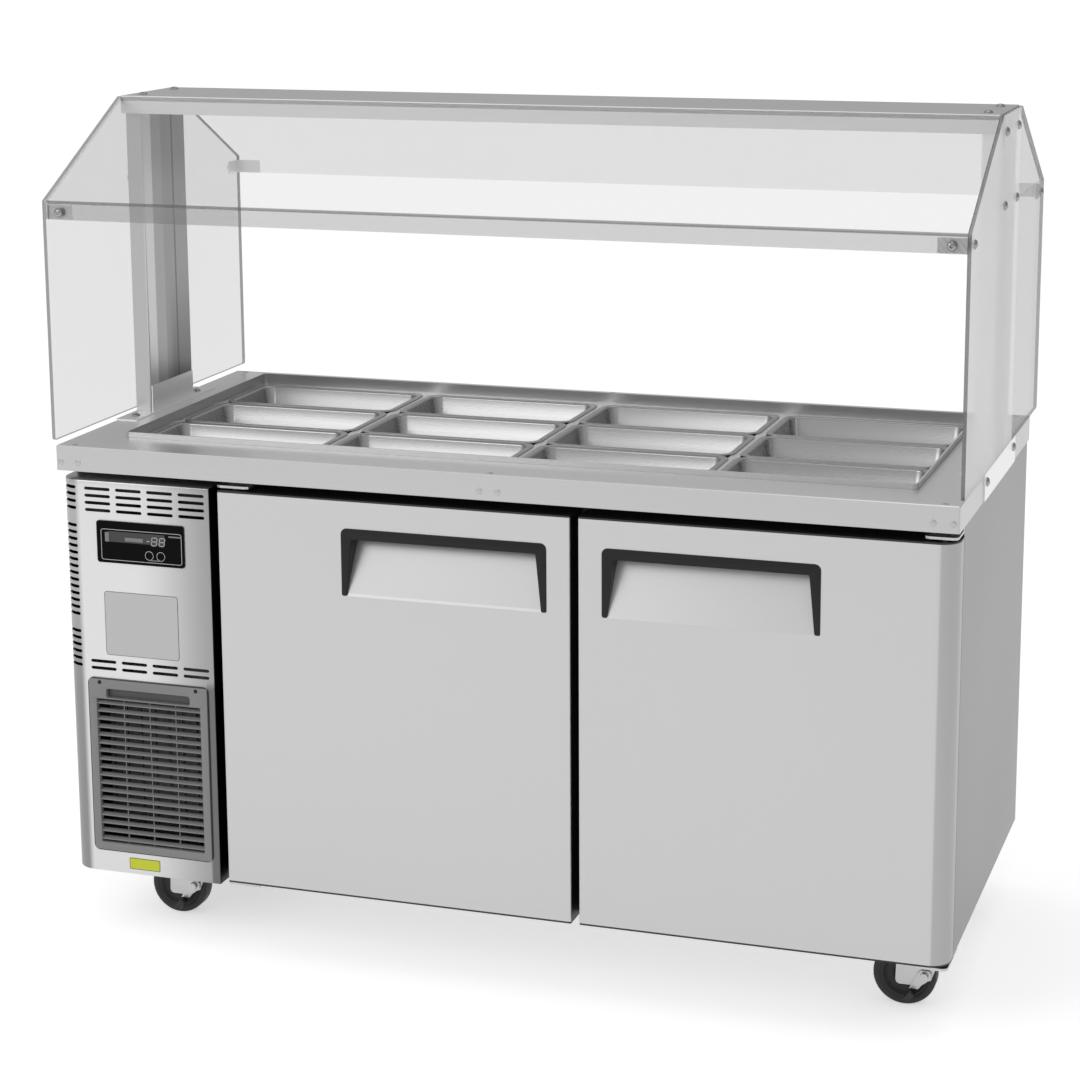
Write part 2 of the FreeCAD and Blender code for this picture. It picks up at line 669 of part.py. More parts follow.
def louvre_panel():
    """Bent sheet before the machine bay: slots on its face and round its corner, holes for the inserts."""
    depth = DOOR_FRONT - PANEL_SHEET, DOOR_FRONT + 2 * PANEL_SHEET
    edge = GRILLE_BORDER / 2
    grille_x = GRILLE_WIDTH / 2 - edge
    grille_hole = box(
        GRILLE_CENTRE_X - grille_x, GRILLE_CENTRE_X + grille_x, *depth,
        GRILLE_TOP - GRILLE_HEIGHT + edge, GRILLE_TOP - edge,
    )
    bezel_x = BEZEL_WIDTH / 2 - BEZEL_BORDER
    bezel_hole = box(
        BEZEL_CENTRE_X - bezel_x, BEZEL_CENTRE_X + bezel_x, *depth,
        BEZEL_TOP - BEZEL_HEIGHT + BEZEL_BORDER, BEZEL_TOP - BEZEL_BORDER,
    )
    return panel_body().cut(group(front_slots() + corner_slots() + [grille_hole, bezel_hole]))


def grille_frame(x_span, z_span, face):
    """The grille's flange and the body behind it, with the finger slot in its head."""
    flange = prism("XZ", rectangle(*x_span, *z_span), face, DOOR_FRONT, GRILLE_CORNER)
    inset = GRILLE_BORDER / 2 + GRILLE_FIT
    body_x, body_z = (x_span[0] + inset, x_span[1] - inset), (z_span[0] + inset, z_span[1] - inset)
    body = box(*body_x, DOOR_FRONT, face + GRILLE_THICK, *body_z)
    finger_x = GRILLE_CENTRE_X - FINGER_LENGTH / 2, GRILLE_CENTRE_X + FINGER_LENGTH / 2
    finger_top = z_span[1] - FINGER_DROP
    outline = faceted(rectangle(*finger_x, finger_top - FINGER_HEIGHT, finger_top), BLADE_THICK, 1)
    finger = prism("XZ", outline, face, face + GRILLE_THICK - BLADE_THICK)
    return fuse(flange, [body]).cut(finger)


def grille_blade(x_span, z, face):
    """One slanted blade: its front edge hangs below its back edge."""
    front, back = face + BLADE_SETBACK, face + GRILLE_THICK - BLADE_SETBACK
    low, high = z - BLADE_DROP / 2, z + BLADE_DROP / 2
    section = [(front, low), (back, high - BLADE_THICK), (back, high), (front, low + BLADE_THICK)]
    return prism("YZ", section, *x_span)


def intake_grille():
    """Moulded grille: rounded frame, finger slot, slanted blades behind three upright ribs."""
    half = GRILLE_WIDTH / 2
    x_span = GRILLE_CENTRE_X - half, GRILLE_CENTRE_X + half
    z_span = GRILLE_TOP - GRILLE_HEIGHT, GRILLE_TOP
    face = DOOR_FRONT - GRILLE_PROUD
    frame = grille_frame(x_span, z_span, face)
    field_x = x_span[0] + GRILLE_BORDER, x_span[1] - GRILLE_BORDER
    field_z = z_span[0] + GRILLE_BORDER, z_span[1] - GRILLE_HEAD
    frame = frame.cut(box(*field_x, face, face + GRILLE_THICK, *field_z))
    pitch = (field_z[1] - field_z[0]) / BLADE_COUNT
    sunk = field_x[0] - BLADE_SUNK, field_x[1] + BLADE_SUNK
    pieces = [grille_blade(sunk, field_z[0] + (i + 0.5) * pitch, face) for i in range(BLADE_COUNT)]
    for i in range(RIB_COUNT):
        x = field_x[0] + (i + 1) * (field_x[1] - field_x[0]) / (RIB_COUNT + 1)
        pieces.append(box(x - RIB_WIDTH / 2, x + RIB_WIDTH / 2, face, face + BLADE_SETBACK, *field_z))
    return fuse(frame, pieces)


# ---------------------------------------------------------------- controller
def bezel_point(drop):
    """Height of a line that lies this far below the bezel's top."""
    return BEZEL_TOP - drop


def controller_bezel():
    """Moulded bezel with the control box behind it, a window opening and two button holes."""
    x0, x1 = BEZEL_CENTRE_X - BEZEL_WIDTH / 2, BEZEL_CENTRE_X + BEZEL_WIDTH / 2
    face = DOOR_FRONT - BEZEL_PROUD
    outline = faceted(rectangle(x0, x1, BEZEL_TOP - BEZEL_HEIGHT, BEZEL_TOP), BEZEL_CORNER)
    flange = prism("XZ", outline, face, DOOR_FRONT)
    inset = BEZEL_BORDER + BEZEL_FIT
    housing = box(
        x0 + inset, x1 - inset, DOOR_FRONT, DOOR_FRONT + BEZEL_BOX,
        BEZEL_TOP - BEZEL_HEIGHT + inset, BEZEL_TOP - inset,
    )
    bezel = fuse(flange, [housing])
    window_x = BEZEL_CENTRE_X + WINDOW_OFFSET_X
    window = box(
        window_x - WINDOW_WIDTH / 2, window_x + WINDOW_WIDTH / 2, face, face + WINDOW_THICK,
        bezel_point(WINDOW_DROP + WINDOW_HEIGHT), bezel_point(WINDOW_DROP),
    )
    z, bore = bezel_point(BUTTON_DROP), BUTTON_RADIUS + BUTTON_CLEARANCE
    centres = [BEZEL_CENTRE_X + offset for offset in BUTTON_OFFSETS_X]
    holes = [sided_rod(bore, BUTTON_SIDES, (x, face, z), (x, face + BUTTON_LENGTH, z)) for x in centres]
    return bezel.cut(group([window] + holes))


def display_window():
    """Smoked lens let into the bezel."""
    window_x = BEZEL_CENTRE_X + WINDOW_OFFSET_X
    face = DOOR_FRONT - BEZEL_PROUD
    return box(
        window_x - WINDOW_WIDTH / 2, window_x + WINDOW_WIDTH / 2, face + WINDOW_SUNK, face + WINDOW_THICK,
        bezel_point(WINDOW_DROP + WINDOW_HEIGHT), bezel_point(WINDOW_DROP),
    )


def button(index):
    """A round push button with a stem, free to travel inwards."""
    x = BEZEL_CENTRE_X + BUTTON_OFFSETS_X[index]
    z = bezel_point(BUTTON_DROP)
    face = DOOR_FRONT - BEZEL_PROUD
    end = face + BUTTON_LENGTH - BUTTON_TRAVEL - BUTTON_STOP
    return sided_rod(BUTTON_RADIUS, BUTTON_SIDES, (x, face - BUTTON_TRAVEL, z), (x, end, z))


# ---------------------------------------------------------------- doors
def door_span(side):
    """Hinge edge and free edge of a door, by side -1 for left or +1 for right."""
    free = DOOR_MEET_X + side * DOOR_GAP / 2
    hinge = DOOR_LEFT_X if side < 0 else DOOR_RIGHT_X
    return hinge, free


def pivot_x(side):
    """The hinge pins' axis."""
    hinge, _ = door_span(side)
    return hinge - side * PIVOT_FROM_EDGE


def door_outline(side, back):
    """A door's plan outline and its arc radii: only the right door's large corner is a true arc."""
    hinge, free = door_span(side)
    points = [(hinge, back), (hinge, DOOR_FRONT), (free, DOOR_FRONT), (free, back)]
    if side < 0:
        return faceted(points, [0, EDGE_ROUND, EDGE_ROUND, 0]), 0.0
    outline = faceted(points, [0, 0, EDGE_ROUND, 0])
    return outline, [0, DOOR_CORNER] + [0] * (len(outline) - 2)


def pin_hole(side, z0, z1):
    """The bore that turns on a hinge pin."""
    x = pivot_x(side)
    return rod(PIN_RADIUS + PIN_CLEARANCE, (x, PIVOT_Y, z0), (x, PIVOT_Y, z1))


def handle_span(side):
    """Low and high X of a handle, and the Z of its top and of its leg tips."""
    _, free = door_span(side)
    near = free + side * HANDLE_FROM_EDGE
    far = near + side * HANDLE_LENGTH
    top = DOOR_TOP - HANDLE_FROM_TOP
    return min(near, far), max(near, far), top, top - HANDLE_HEIGHT


def scoop_wedge(x0, x1, top, tip, depth, lift=0.0):
    """The sloping pocket: no depth at the leg tips, full depth at the top."""
    section = [(DOOR_FRONT - lift, tip), (DOOR_FRONT - lift, top), (DOOR_FRONT + depth, top)]
    if lift:
        section.append((DOOR_FRONT, tip))
    return prism("YZ", section, x0, x1)


def door_panel(side):
    """Foamed door body with the handle pocket and the pin bores."""
    outline, radii = door_outline(side, DOOR_BACK - LINER_THICK)
    panel = prism("XY", outline, DOOR_BOTTOM + CAP_THICK, DOOR_TOP - CAP_THICK, radii)
    x0, x1, top, tip = handle_span(side)
    panel = panel.cut(scoop_wedge(x0, x1, top, tip, HANDLE_DEPTH))
    panel = panel.cut(pin_hole(side, DOOR_BOTTOM, DOOR_BOTTOM + PIN_REACH + 1))
    return panel.cut(pin_hole(side, DOOR_TOP - PIN_REACH - 1, DOOR_TOP))


def door_liner(side):
    """Moulded inner skin with a raised rib, and the end caps of the door in one piece with it."""
    outline, radii = door_outline(side, DOOR_BACK)
    whole = prism("XY", outline, DOOR_BOTTOM, DOOR_TOP, radii)
    keep = box(
        -HALF, HALF, FRONT, DOOR_BACK - LINER_THICK, DOOR_BOTTOM + CAP_THICK, DOOR_TOP - CAP_THICK
    )
    liner = whole.cut(keep)
    x0, x1, z0, z1 = gasket_outline(side)
    outer = GASKET_WIDTH + DYKE_GAP
    inner = outer + DYKE_WIDTH
    rib = box(x0 + outer, x1 - outer, DOOR_BACK, DOOR_BACK + DYKE, z0 + outer, z1 - outer)
    hollow = box(x0 + inner, x1 - inner, DOOR_BACK, DOOR_BACK + DYKE, z0 + inner, z1 - inner)
    liner = fuse(liner, [rib.cut(hollow)])
    liner = liner.cut(pin_hole(side, DOOR_BOTTOM, DOOR_BOTTOM + CAP_THICK))
    return liner.cut(pin_hole(side, DOOR_TOP - CAP_THICK, DOOR_TOP))


def gasket_outline(side):
    """Low and high X, then low and high Z, of a door gasket's outer edge."""
    hinge, free = door_span(side)
    a = hinge - side * GASKET_HINGE_INSET
    b = free + side * GASKET_FREE_INSET
    return min(a, b), max(a, b), DOOR_BOTTOM + GASKET_END_INSET, DOOR_TOP - GASKET_END_INSET


def door_gasket(side):
    """Magnetic gasket round the back of the door."""
    x0, x1, z0, z1 = gasket_outline(side)
    outer = prism(
        "XZ", faceted(rectangle(x0, x1, z0, z1), GASKET_CORNER), DOOR_BACK, DOOR_BACK + GASKET_THICK
    )
    w = GASKET_WIDTH
    return outer.cut(box(x0 + w, x1 - w, DOOR_BACK, DOOR_BACK + GASKET_THICK, z0 + w, z1 - w))


def handle_frame(x0, x1, top, tip, face):
    """The handle's flat front: bar and tapering legs, with the front edges bevelled."""
    shoulder = top - HANDLE_BAR
    half = [(x0, top), (x0, tip), (x0 + HANDLE_LEG_TIP, tip), (x0 + HANDLE_LEG_TOP, shoulder)]
    half_radii = [HANDLE_CORNER, HANDLE_TIP_ROUND, HANDLE_TIP_ROUND, HANDLE_INSIDE_ROUND]
    outline = half + [(x0 + x1 - x, z) for x, z in reversed(half)]
    outline = faceted(outline, half_radii + half_radii[::-1])
    frame = prism("XZ", outline, face, DOOR_FRONT + HANDLE_WALL)
    front_edges = [edge for edge in frame.Edges if edge.BoundBox.YMax < face + HANDLE_BEVEL]
    return frame.makeChamfer(HANDLE_BEVEL, front_edges)


def door_handle(side):
    """Inverted-U trim: a bar with a hollow behind it and two tapering legs that line the pocket's sides."""
    x0, x1, top, tip = handle_span(side)
    frame = handle_frame(x0, x1, top, tip, DOOR_FRONT - HANDLE_PROUD)
    wedge = scoop_wedge(x0, x1, top, tip, HANDLE_DEPTH, HANDLE_PROUD)
    inner_x = x0 + HANDLE_WALL, x1 - HANDLE_WALL
    lining = scoop_wedge(x0, x1, top, tip, HANDLE_DEPTH)
    lining = lining.cut(box(*inner_x, DOOR_FRONT, DOOR_BACK, tip, top - HANDLE_WALL))
    return fuse(frame.common(wedge), [lining])


# ---------------------------------------------------------------- hinges
def hinge_bracket(side, upper):
    """A plate off the carcass with a pin into the door's end."""
    x = pivot_x(side)
    x0 = x - HINGE_WIDTH / 2
    x1 = x + HINGE_WIDTH / 2
    if side > 0:
        x1 = min(x1, SIDE)
    else:
        x0 = max(x0, BULKHEAD_X)
    front = PIVOT_Y - HINGE_NOSE
    foot = 0 if upper else HINGE_FOOT
    outline = faceted(rectangle(x0, x1, front, FACE + foot), [HINGE_CORNER, HINGE_CORNER, 0, 0])
    if upper:
        z0 = DOOR_TOP + HINGE_GAP
        tab = box(x0, x1, FACE - HINGE_PLATE, FACE, z0, FASCIA_BOTTOM)
        pin_z = DOOR_TOP - PIN_REACH, z0 + HINGE_PLATE
    else:
        z0 = BASE_BOTTOM - HINGE_PLATE
        tab = box(x0 + HINGE_CORNER, x1 - HINGE_CORNER, FACE + foot / 2, FACE + foot, z0 - HINGE_RIB, z0)
        pin_z = z0, DOOR_BOTTOM + PIN_REACH
    plate = prism("XY", outline, z0, z0 + HINGE_PLATE)
    pin = rod(PIN_RADIUS, (x, PIVOT_Y, pin_z[0]), (x, PIVOT_Y, pin_z[1]))
    return fuse(plate, [tab, pin])


def hinge_brackets():
    """Four brackets, top and bottom of each door."""
    return group([hinge_bracket(side, upper) for side in (-1, 1) for upper in (False, True)])


# ---------------------------------------------------------------- sneeze guard
def above(height):
    """A height given above the worktop surface."""
    return TOP_HEIGHT + height


def guard_shelf():
    """Folded channel across the posts."""
    half = SHELF_WIDTH / 2
    outside = box(-HALF, HALF, -half, half, above(GUARD_TOP - SHELF_LIP), above(GUARD_TOP))
    inside = box(
        -HALF, HALF, -half + SHEET, half - SHEET, above(GUARD_TOP - SHELF_LIP), above(GUARD_TOP - SHEET)
    )
    return outside.cut(inside)


def guard_post():
    """Right-hand post: a lipped channel, its web inwards and its lips against the end glass."""
    half = POST_WIDTH / 2
    inner = HALF - POST_DEPTH
    z0, z1 = above(BRACKET_SHEET), above(GUARD_TOP - SHEET)
    outside = prism("XY", faceted(rectangle(inner, HALF, -half, half), EDGE_ROUND), z0, z1)
    t = BRACKET_SHEET
    hollow = box(inner + t, HALF - t, -half + t, half - t, z0, z1)
    mouth = box(HALF - t, HALF, -half + POST_LIP, half - POST_LIP, z0, z1)
    return outside.cut(hollow).cut(mouth)


def guard_posts():
    """Both posts."""
    return group([guard_post(), mirrored(guard_post())])


def post_bracket():
    """Right-hand base bracket: flange on the worktop, fold over its end, upstand against the web."""
    half = BRACKET_LENGTH / 2
    t = BRACKET_SHEET
    post_half = POST_WIDTH / 2 - EDGE_ROUND
    flange = box(HALF - BRACKET_WIDTH, HALF + t, -half, half, above(0), above(t))
    fold = box(HALF, HALF + t, -half, half, FASCIA_BOTTOM, above(t))
    inner = HALF - POST_DEPTH
    upstand = box(inner - t, inner, -post_half, post_half, above(0), above(BRACKET_UPSTAND))
    return fuse(flange, [fold, upstand])


def corner_bottom():
    """Height of the corner brackets' lower edge above the worktop, level with the screens' lower edge."""
    return GUARD_FOLD - GUARD_LIP


def corner_bracket():
    """Right-hand front L bracket inside the corner, between the screen's lip and the end glass."""
    t = BRACKET_SHEET
    z0, z1 = above(corner_bottom()), above(corner_bottom() + CORNER_HEIGHT)
    y = -GUARD_HALF_DEPTH + GLASS
    front_leg = box(HALF - CORNER_LEG, HALF, y, y + t, z0, z1)
    side_leg = box(HALF - t, HALF, y, y + CORNER_LEG, z0, z1)
    return fuse(front_leg, [side_leg])


def guard_brackets():
    """Two post brackets and four corner brackets."""
    corner = corner_bracket()
    corners = [corner, mirrored(corner)]
    corners += [mirrored_y(piece) for piece in list(corners)]
    return group([post_bracket(), mirrored(post_bracket())] + corners)


def end_glasses():
    """Both end glasses, with sloped shoulders."""
    half, top = SHELF_WIDTH / 2, above(GUARD_TOP - SHEET)
    deep, foot, fold = GUARD_HALF_DEPTH, above(GUARD_FOOT), above(GUARD_FOLD)
    outline = [(-deep, foot), (deep, foot), (deep, fold), (half, top), (-half, top), (-deep, fold)]
    right = prism("YZ", faceted(outline, [GLASS_CORNER, GLASS_CORNER, 0, 0, 0, 0]), HALF, GLASS_OUT)
    return group([right, mirrored(right)])


def sneeze_screen():
    """Customer-side screen: a slope from the shelf's edge to the fold, then a short upright lip."""
    y_top, y_fold = -SHELF_WIDTH / 2, -GUARD_HALF_DEPTH
    z_top, z_fold = above(GUARD_TOP - SHEET), above(GUARD_FOLD)
    slope = math.atan2(z_top - z_fold, y_top - y_fold)
    drop = GLASS / math.cos(slope)
    fold_shift = GLASS * math.tan((math.pi / 2 - slope) / 2)
    outline = [
        (y_top, z_top), (y_fold, z_fold), (y_fold, z_fold - GUARD_LIP), (y_fold + GLASS, z_fold - GUARD_LIP),
        (y_fold + GLASS, z_fold - fold_shift), (y_top, z_top - drop),
    ]
    return prism("YZ", outline, -HALF, HALF, [0, SCREEN_BEND, 0, 0, SCREEN_BEND - GLASS, 0])


def sneeze_screens():
    """The customer-side screen and the same screen at the rear."""
    screen = sneeze_screen()
    return group([screen, mirrored_y(screen)])


def screw(place, way):
    """A button-head screw seated on a surface, its head pointing along way."""
    top = Vec(*place) + Vec(*way) * SCREW_HEIGHT
    base = ring(SCREW_RADIUS, SCREW_SIDES, place, way)
    return faceted_loft([base, ring(SCREW_TOP_RADIUS, SCREW_SIDES, top, way)])


def guard_screws():
    """Visible screws of the guard."""
    right = []
    for y in (-POST_SCREW_Y, POST_SCREW_Y):
        for height in POST_SCREW_HEIGHTS:
            right.append(screw((GLASS_OUT, y, above(height)), (1, 0, 0)))
        right.append(screw((HALF - SHELF_SCREW_INSET, y, above(GUARD_TOP)), (0, 0, 1)))
    corner_z = above(corner_bottom() + CORNER_HEIGHT / 2)
    plate = BRACKET_SHEET
    for way in (-1, 1):
        y = way * GUARD_HALF_DEPTH
        right.append(screw((HALF - CORNER_SCREW, y, corner_z), (0, way, 0)))
        right.append(screw((GLASS_OUT, y - way * (GLASS + CORNER_SCREW), corner_z), (1, 0, 0)))
        right.append(screw((HALF + plate, way * FASCIA_SCREW_Y, TOP_HEIGHT - FASCIA_SCREW_DOWN), (1, 0, 0)))
        right.append(screw((HALF - BRACKET_WIDTH / 2, way * FLANGE_SCREW_Y, above(plate)), (0, 0, 1)))
    return group(right + [mirrored(piece) for piece in right])


# ---------------------------------------------------------------- casters
def caster_places():
    """Swivel axis of each caster by name."""
    front, back = FACE + CASTER_FROM_FACE, BACK - CASTER_FROM_BACK
    return {
        "front_left": (CASTER_LEFT_X, front),
        "front_right": (CASTER_RIGHT_X, front),
        "rear_left": (CASTER_LEFT_X, back),
        "rear_right": (CASTER_RIGHT_X, back),
    }


def caster_plates():
    """Top plates bolted under the cabinet, each with the round upper cup of its swivel race."""
    half_x, half_y = PLATE_LENGTH / 2, PLATE_WIDTH / 2
    underside = BASE_BOTTOM - PLATE_THICK
    plates = []
    for x, y in caster_places().values():
        outline = faceted(rectangle(x - half_x, x + half_x, y - half_y, y + half_y), PLATE_CORNER, 1)
        cup = rod(RACE_RADIUS, (x, y, underside - RACE_CUP), (x, y, BASE_BOTTOM))
        plates.append(fuse(prism("XY", outline, underside, BASE_BOTTOM), [cup]))
    return group(plates)


def fork_leg(x, axle_x, crown_top, y_span):
    """One leg: wide under the crown, tapering back and down to a rounded end about the axle."""
    outline = [
        (axle_x - LEG_ROUND, WHEEL_RADIUS - LEG_ROUND), (axle_x + LEG_ROUND, WHEEL_RADIUS - LEG_ROUND),
        (x + LEG_KNEE, LEVER_PIVOT_Z - LEG_KNEE), (x + RACE_RADIUS, crown_top),
        (x - RACE_RADIUS - TRAIL / 2, crown_top),
    ]
    return prism("XZ", faceted(outline, [LEG_ROUND / 2, LEG_ROUND / 2, 0, 0, 0]), *y_span)


def caster_fork(place, has_brake):
    """Lower race, crown and two legs that carry the axle."""
    x, y = place
    crown_z = 2 * WHEEL_RADIUS + CROWN_CLEAR
    crown_top = crown_z + FORK_SHEET
    race_top = BASE_BOTTOM - PLATE_THICK - RACE_CUP - RACE_GAP
    race = sided_rod(RACE_RADIUS - RACE_STEP, RACE_SIDES, (x, y, crown_z), (x, y, race_top))
    leg_in = HUB_LENGTH / 2 + FORK_GAP
    leg_out = leg_in + FORK_SHEET
    crown = box(x - RACE_RADIUS - TRAIL / 2, x + RACE_RADIUS, y - leg_out, y + leg_out, crown_z, crown_top)
    axle_x = x - TRAIL
    legs = [fork_leg(x, axle_x, crown_top, (y + way * leg_in, y + way * leg_out)) for way in (-1, 1)]
    axle = rod(AXLE_RADIUS, (axle_x, y - leg_out, WHEEL_RADIUS), (axle_x, y + leg_out, WHEEL_RADIUS))
    pins = [lever_pin(place)] if has_brake else []
    return fuse(crown, [race] + legs + [axle] + pins)


def caster_wheel(place):
    """Tyred wheel with bevelled tread edges and a longer hub, bored for the axle."""
    x, y = place
    axle_x = x - TRAIL
    half, hub_half = WHEEL_WIDTH / 2, HUB_LENGTH / 2
    shoulder = half - WHEEL_ROUND
    rings = []
    for along, inset in ((-half, WHEEL_ROUND), (-shoulder, 0), (shoulder, 0), (half, WHEEL_ROUND)):
        rings.append(ring(WHEEL_RADIUS - inset, WHEEL_SIDES, (axle_x, y + along, WHEEL_RADIUS), (0, 1, 0)))
    ends = (axle_x, y - hub_half, WHEEL_RADIUS), (axle_x, y + hub_half, WHEEL_RADIUS)
    hub = sided_rod(HUB_RADIUS, HUB_SIDES, *ends)
    return fuse(faceted_loft(rings), [hub]).cut(rod(AXLE_RADIUS + PIN_CLEARANCE, *ends))


def lever_pivot(place):
    """Where a brake lever turns on its fork leg."""
    x, y = place
    leg_out = HUB_LENGTH / 2 + FORK_GAP + FORK_SHEET
    return x - LEVER_PIVOT_BACK, y - leg_out - LEVER_GAP, LEVER_PIVOT_Z


def lever_pin(place):
    """Pin and nut that hold a brake lever on its fork leg."""
    x, y, z = lever_pivot(place)
    nut_y = y - LEVER_THICK - LEVER_GAP
    pin = rod(LEVER_PIN, (x, y + LEVER_GAP + FORK_SHEET, z), (x, nut_y, z))
    nut = sided_rod(NUT_RADIUS, NUT_SIDES, (x, nut_y - NUT_HEIGHT, z), (x, nut_y, z))
    return fuse(pin, [nut])


def brake_lever(place):
    """Lever in front of the wheel with a turned-out foot pad at its lower end."""
    px, py, pz = lever_pivot(place)
    arm = [(px + a, pz + b) for a, b in LEVER_OUTLINE]
    foot = [(px + a, pz + b) for a, b in FOOT_OUTLINE]
    lever = prism("XZ", arm, py - LEVER_THICK, py)
    pad = prism("XZ", foot, py - LEVER_THICK - FOOT_WIDTH, py)
    bore = rod(LEVER_PIN + PIN_CLEARANCE, (px, py - LEVER_THICK, pz), (px, py, pz))
    return fuse(lever, [pad]).cut(bore)


# ---------------------------------------------------------------- shelves
def shelf_bays():
    """Low and high X of each wire shelf."""
    left = ROOM_LEFT + EVAP_THICK + EVAP_TO_SHELF
    return ((left, DOOR_MEET_X - SHELF_CLEAR), (DOOR_MEET_X + SHELF_CLEAR, ROOM_RIGHT - SHELF_CLEAR))


def wire_shelves():
    """One wire shelf behind each door: two bars left to right with wires front to back on them."""
    y0 = ROOM_BACK - SHELF_CLEAR - SHELF_DEPTH
    y1 = ROOM_BACK - SHELF_CLEAR
    bar, wire = SHELF_BAR / 2, SHELF_WIRE / 2
    wire_z = SHELF_HEIGHT + SHELF_BAR
    shelves = []
    for x0, x1 in shelf_bays():
        bars = [box(x0, x1, y - bar, y + bar, SHELF_HEIGHT, wire_z) for y in (y0 + bar, y1 - bar)]
        pitch = (x1 - x0 - SHELF_BAR) / (SHELF_WIRES - 1)
        centres = [x0 + bar + i * pitch for i in range(SHELF_WIRES)]
        wires = [box(x - wire, x + wire, y0, y1, wire_z - wire, wire_z + wire) for x in centres]
        shelves.append(fuse(bars[0], bars[1:] + wires))
    return group(shelves)


def shelf_rails():
    """Upright rails on the back wall with a clip under each shelf corner, and front posts off the floor."""
    pieces = []
    back = ROOM_BACK
    front = ROOM_BACK - SHELF_CLEAR - SHELF_DEPTH
    half = RAIL_WIDTH / 2
    clip_y = back - RAIL_THICK - CLIP_REACH, back - RAIL_THICK
    for x0, x1 in shelf_bays():
        for x in (x0 + RAIL_INSET, x1 - RAIL_INSET):
            span = x - half, x + half
            rail = box(*span, back - RAIL_THICK, back, ROOM_FLOOR + RAIL_FOOT, OPENING_TOP - RAIL_INSET)
            clip = box(*span, *clip_y, SHELF_HEIGHT - CLIP_HEIGHT, SHELF_HEIGHT)
            pieces.append(fuse(rail, [clip]))
            pieces.append(box(*span, front, front + RAIL_WIDTH, ROOM_FLOOR, SHELF_HEIGHT))
    return group(pieces)


# ---------------------------------------------------------------- refrigeration
def coil_place():
    """Low X, low Y and low Z of the condenser coil, behind the intake grille."""
    return GRILLE_CENTRE_X - COIL_WIDTH / 2, FACE + COIL_FROM_FACE, BASE_BOTTOM + SHEET + COIL_FOOT


def condenser_coil():
    """Fin pack with end plates that stand on the tray."""
    x0, y0, z0 = coil_place()
    x1, y1, z1 = x0 + COIL_WIDTH, y0 + COIL_THICK, z0 + COIL_HEIGHT
    end, step = COIL_END, COIL_END - COIL_FIN
    core = box(x0 + end, x1 - end, y0 + step, y1 - step, z0 - COIL_FOOT, z1)
    plates = [box(x, x + end, y0, y1, z0 - COIL_FOOT, z1) for x in (x0, x1 - end)]
    pitch = (COIL_WIDTH - 2 * end) / (COIL_FINS + 1)
    centres = [x0 + end + pitch * (i + 1) for i in range(COIL_FINS)]
    fins = [box(x - COIL_FIN / 2, x + COIL_FIN / 2, y0, y1, z0, z1) for x in centres]
    return fuse(core, plates + fins)


def condenser_fan_centre():
    """Centre of the condenser fan."""
    x0, y0, z0 = coil_place()
    return x0 + COIL_WIDTH / 2, y0 + COIL_THICK + SHROUD_THICK / 2, z0 + COIL_HEIGHT / 2


def fan(centre, radius, way, depth):
    """A hub with flat pitched blades that stay inside the radius, and a round nose towards way."""
    axis = Vec(*way)
    start, end = Vec(*centre) - axis * (depth / 2), Vec(*centre) + axis * (depth / 2)
    hub = sided_rod(FAN_HUB, FAN_SIDES, start, end)
    nose = rod(NOSE_RADIUS, start, end + axis * NOSE_PROUD)
    half_width = radius * BLADE_SHARE / 2
    root = FAN_HUB - BLADE_ROOT
    tip = math.sqrt(radius ** 2 - half_width ** 2)
    turn = FreeCAD.Placement(Vec(*centre), FreeCAD.Rotation(Vec(0, 0, 1), axis))
    blades = []
    for i in range(FAN_BLADES):
        blade = box(root, tip, -half_width, half_width, -BLADE_SHEET / 2, BLADE_SHEET / 2)
        blade.rotate(Vec(0, 0, 0), Vec(1, 0, 0), BLADE_PITCH)
        blade.rotate(Vec(0, 0, 0), Vec(0, 0, 1), 360 * i / FAN_BLADES)
        blade.Placement = turn.multiply(blade.Placement)
        blades.append(blade)
    return fuse(hub, [nose] + blades)


def condenser_fan():
    """Suction fan behind the condenser coil, its nose towards the coil."""
    return fan(condenser_fan_centre(), FAN_RADIUS, (0, -1, 0), FAN_DEPTH)


def condenser_shroud():
    """Square shroud with a round throat and the strut that holds the fan's motor."""
    x0, y0, z0 = coil_place()
    cx, cy, cz = condenser_fan_centre()
    y_start = y0 + COIL_THICK
    y_end = y_start + SHROUD_THICK
    body = box(x0, x0 + COIL_WIDTH, y_start, y_end, BASE_BOTTOM + SHEET, z0 + COIL_HEIGHT)
    throat = sided_rod(FAN_RADIUS + SHROUD_CLEAR, THROAT_SIDES, (cx, y_start, cz), (cx, y_end, cz))
    motor_y = cy + FAN_DEPTH / 2 + MOTOR_GAP
    reach = FAN_RADIUS + 2 * SHROUD_CLEAR
    strut = box(cx - STRUT_HALF, cx + STRUT_HALF, motor_y, y_end, cz - reach, cz + reach)
    motor = sided_rod(FAN_HUB, FAN_SIDES, (cx, motor_y, cz), (cx, y_end + MOTOR_PROUD, cz))
    return fuse(body.cut(throat), [strut, motor])


def compressor_place():
    """Centre of the compressor's foot plate."""
    return GRILLE_CENTRE_X, BASE_BACK - CAN_FROM_BACK, BASE_BOTTOM + SHEET


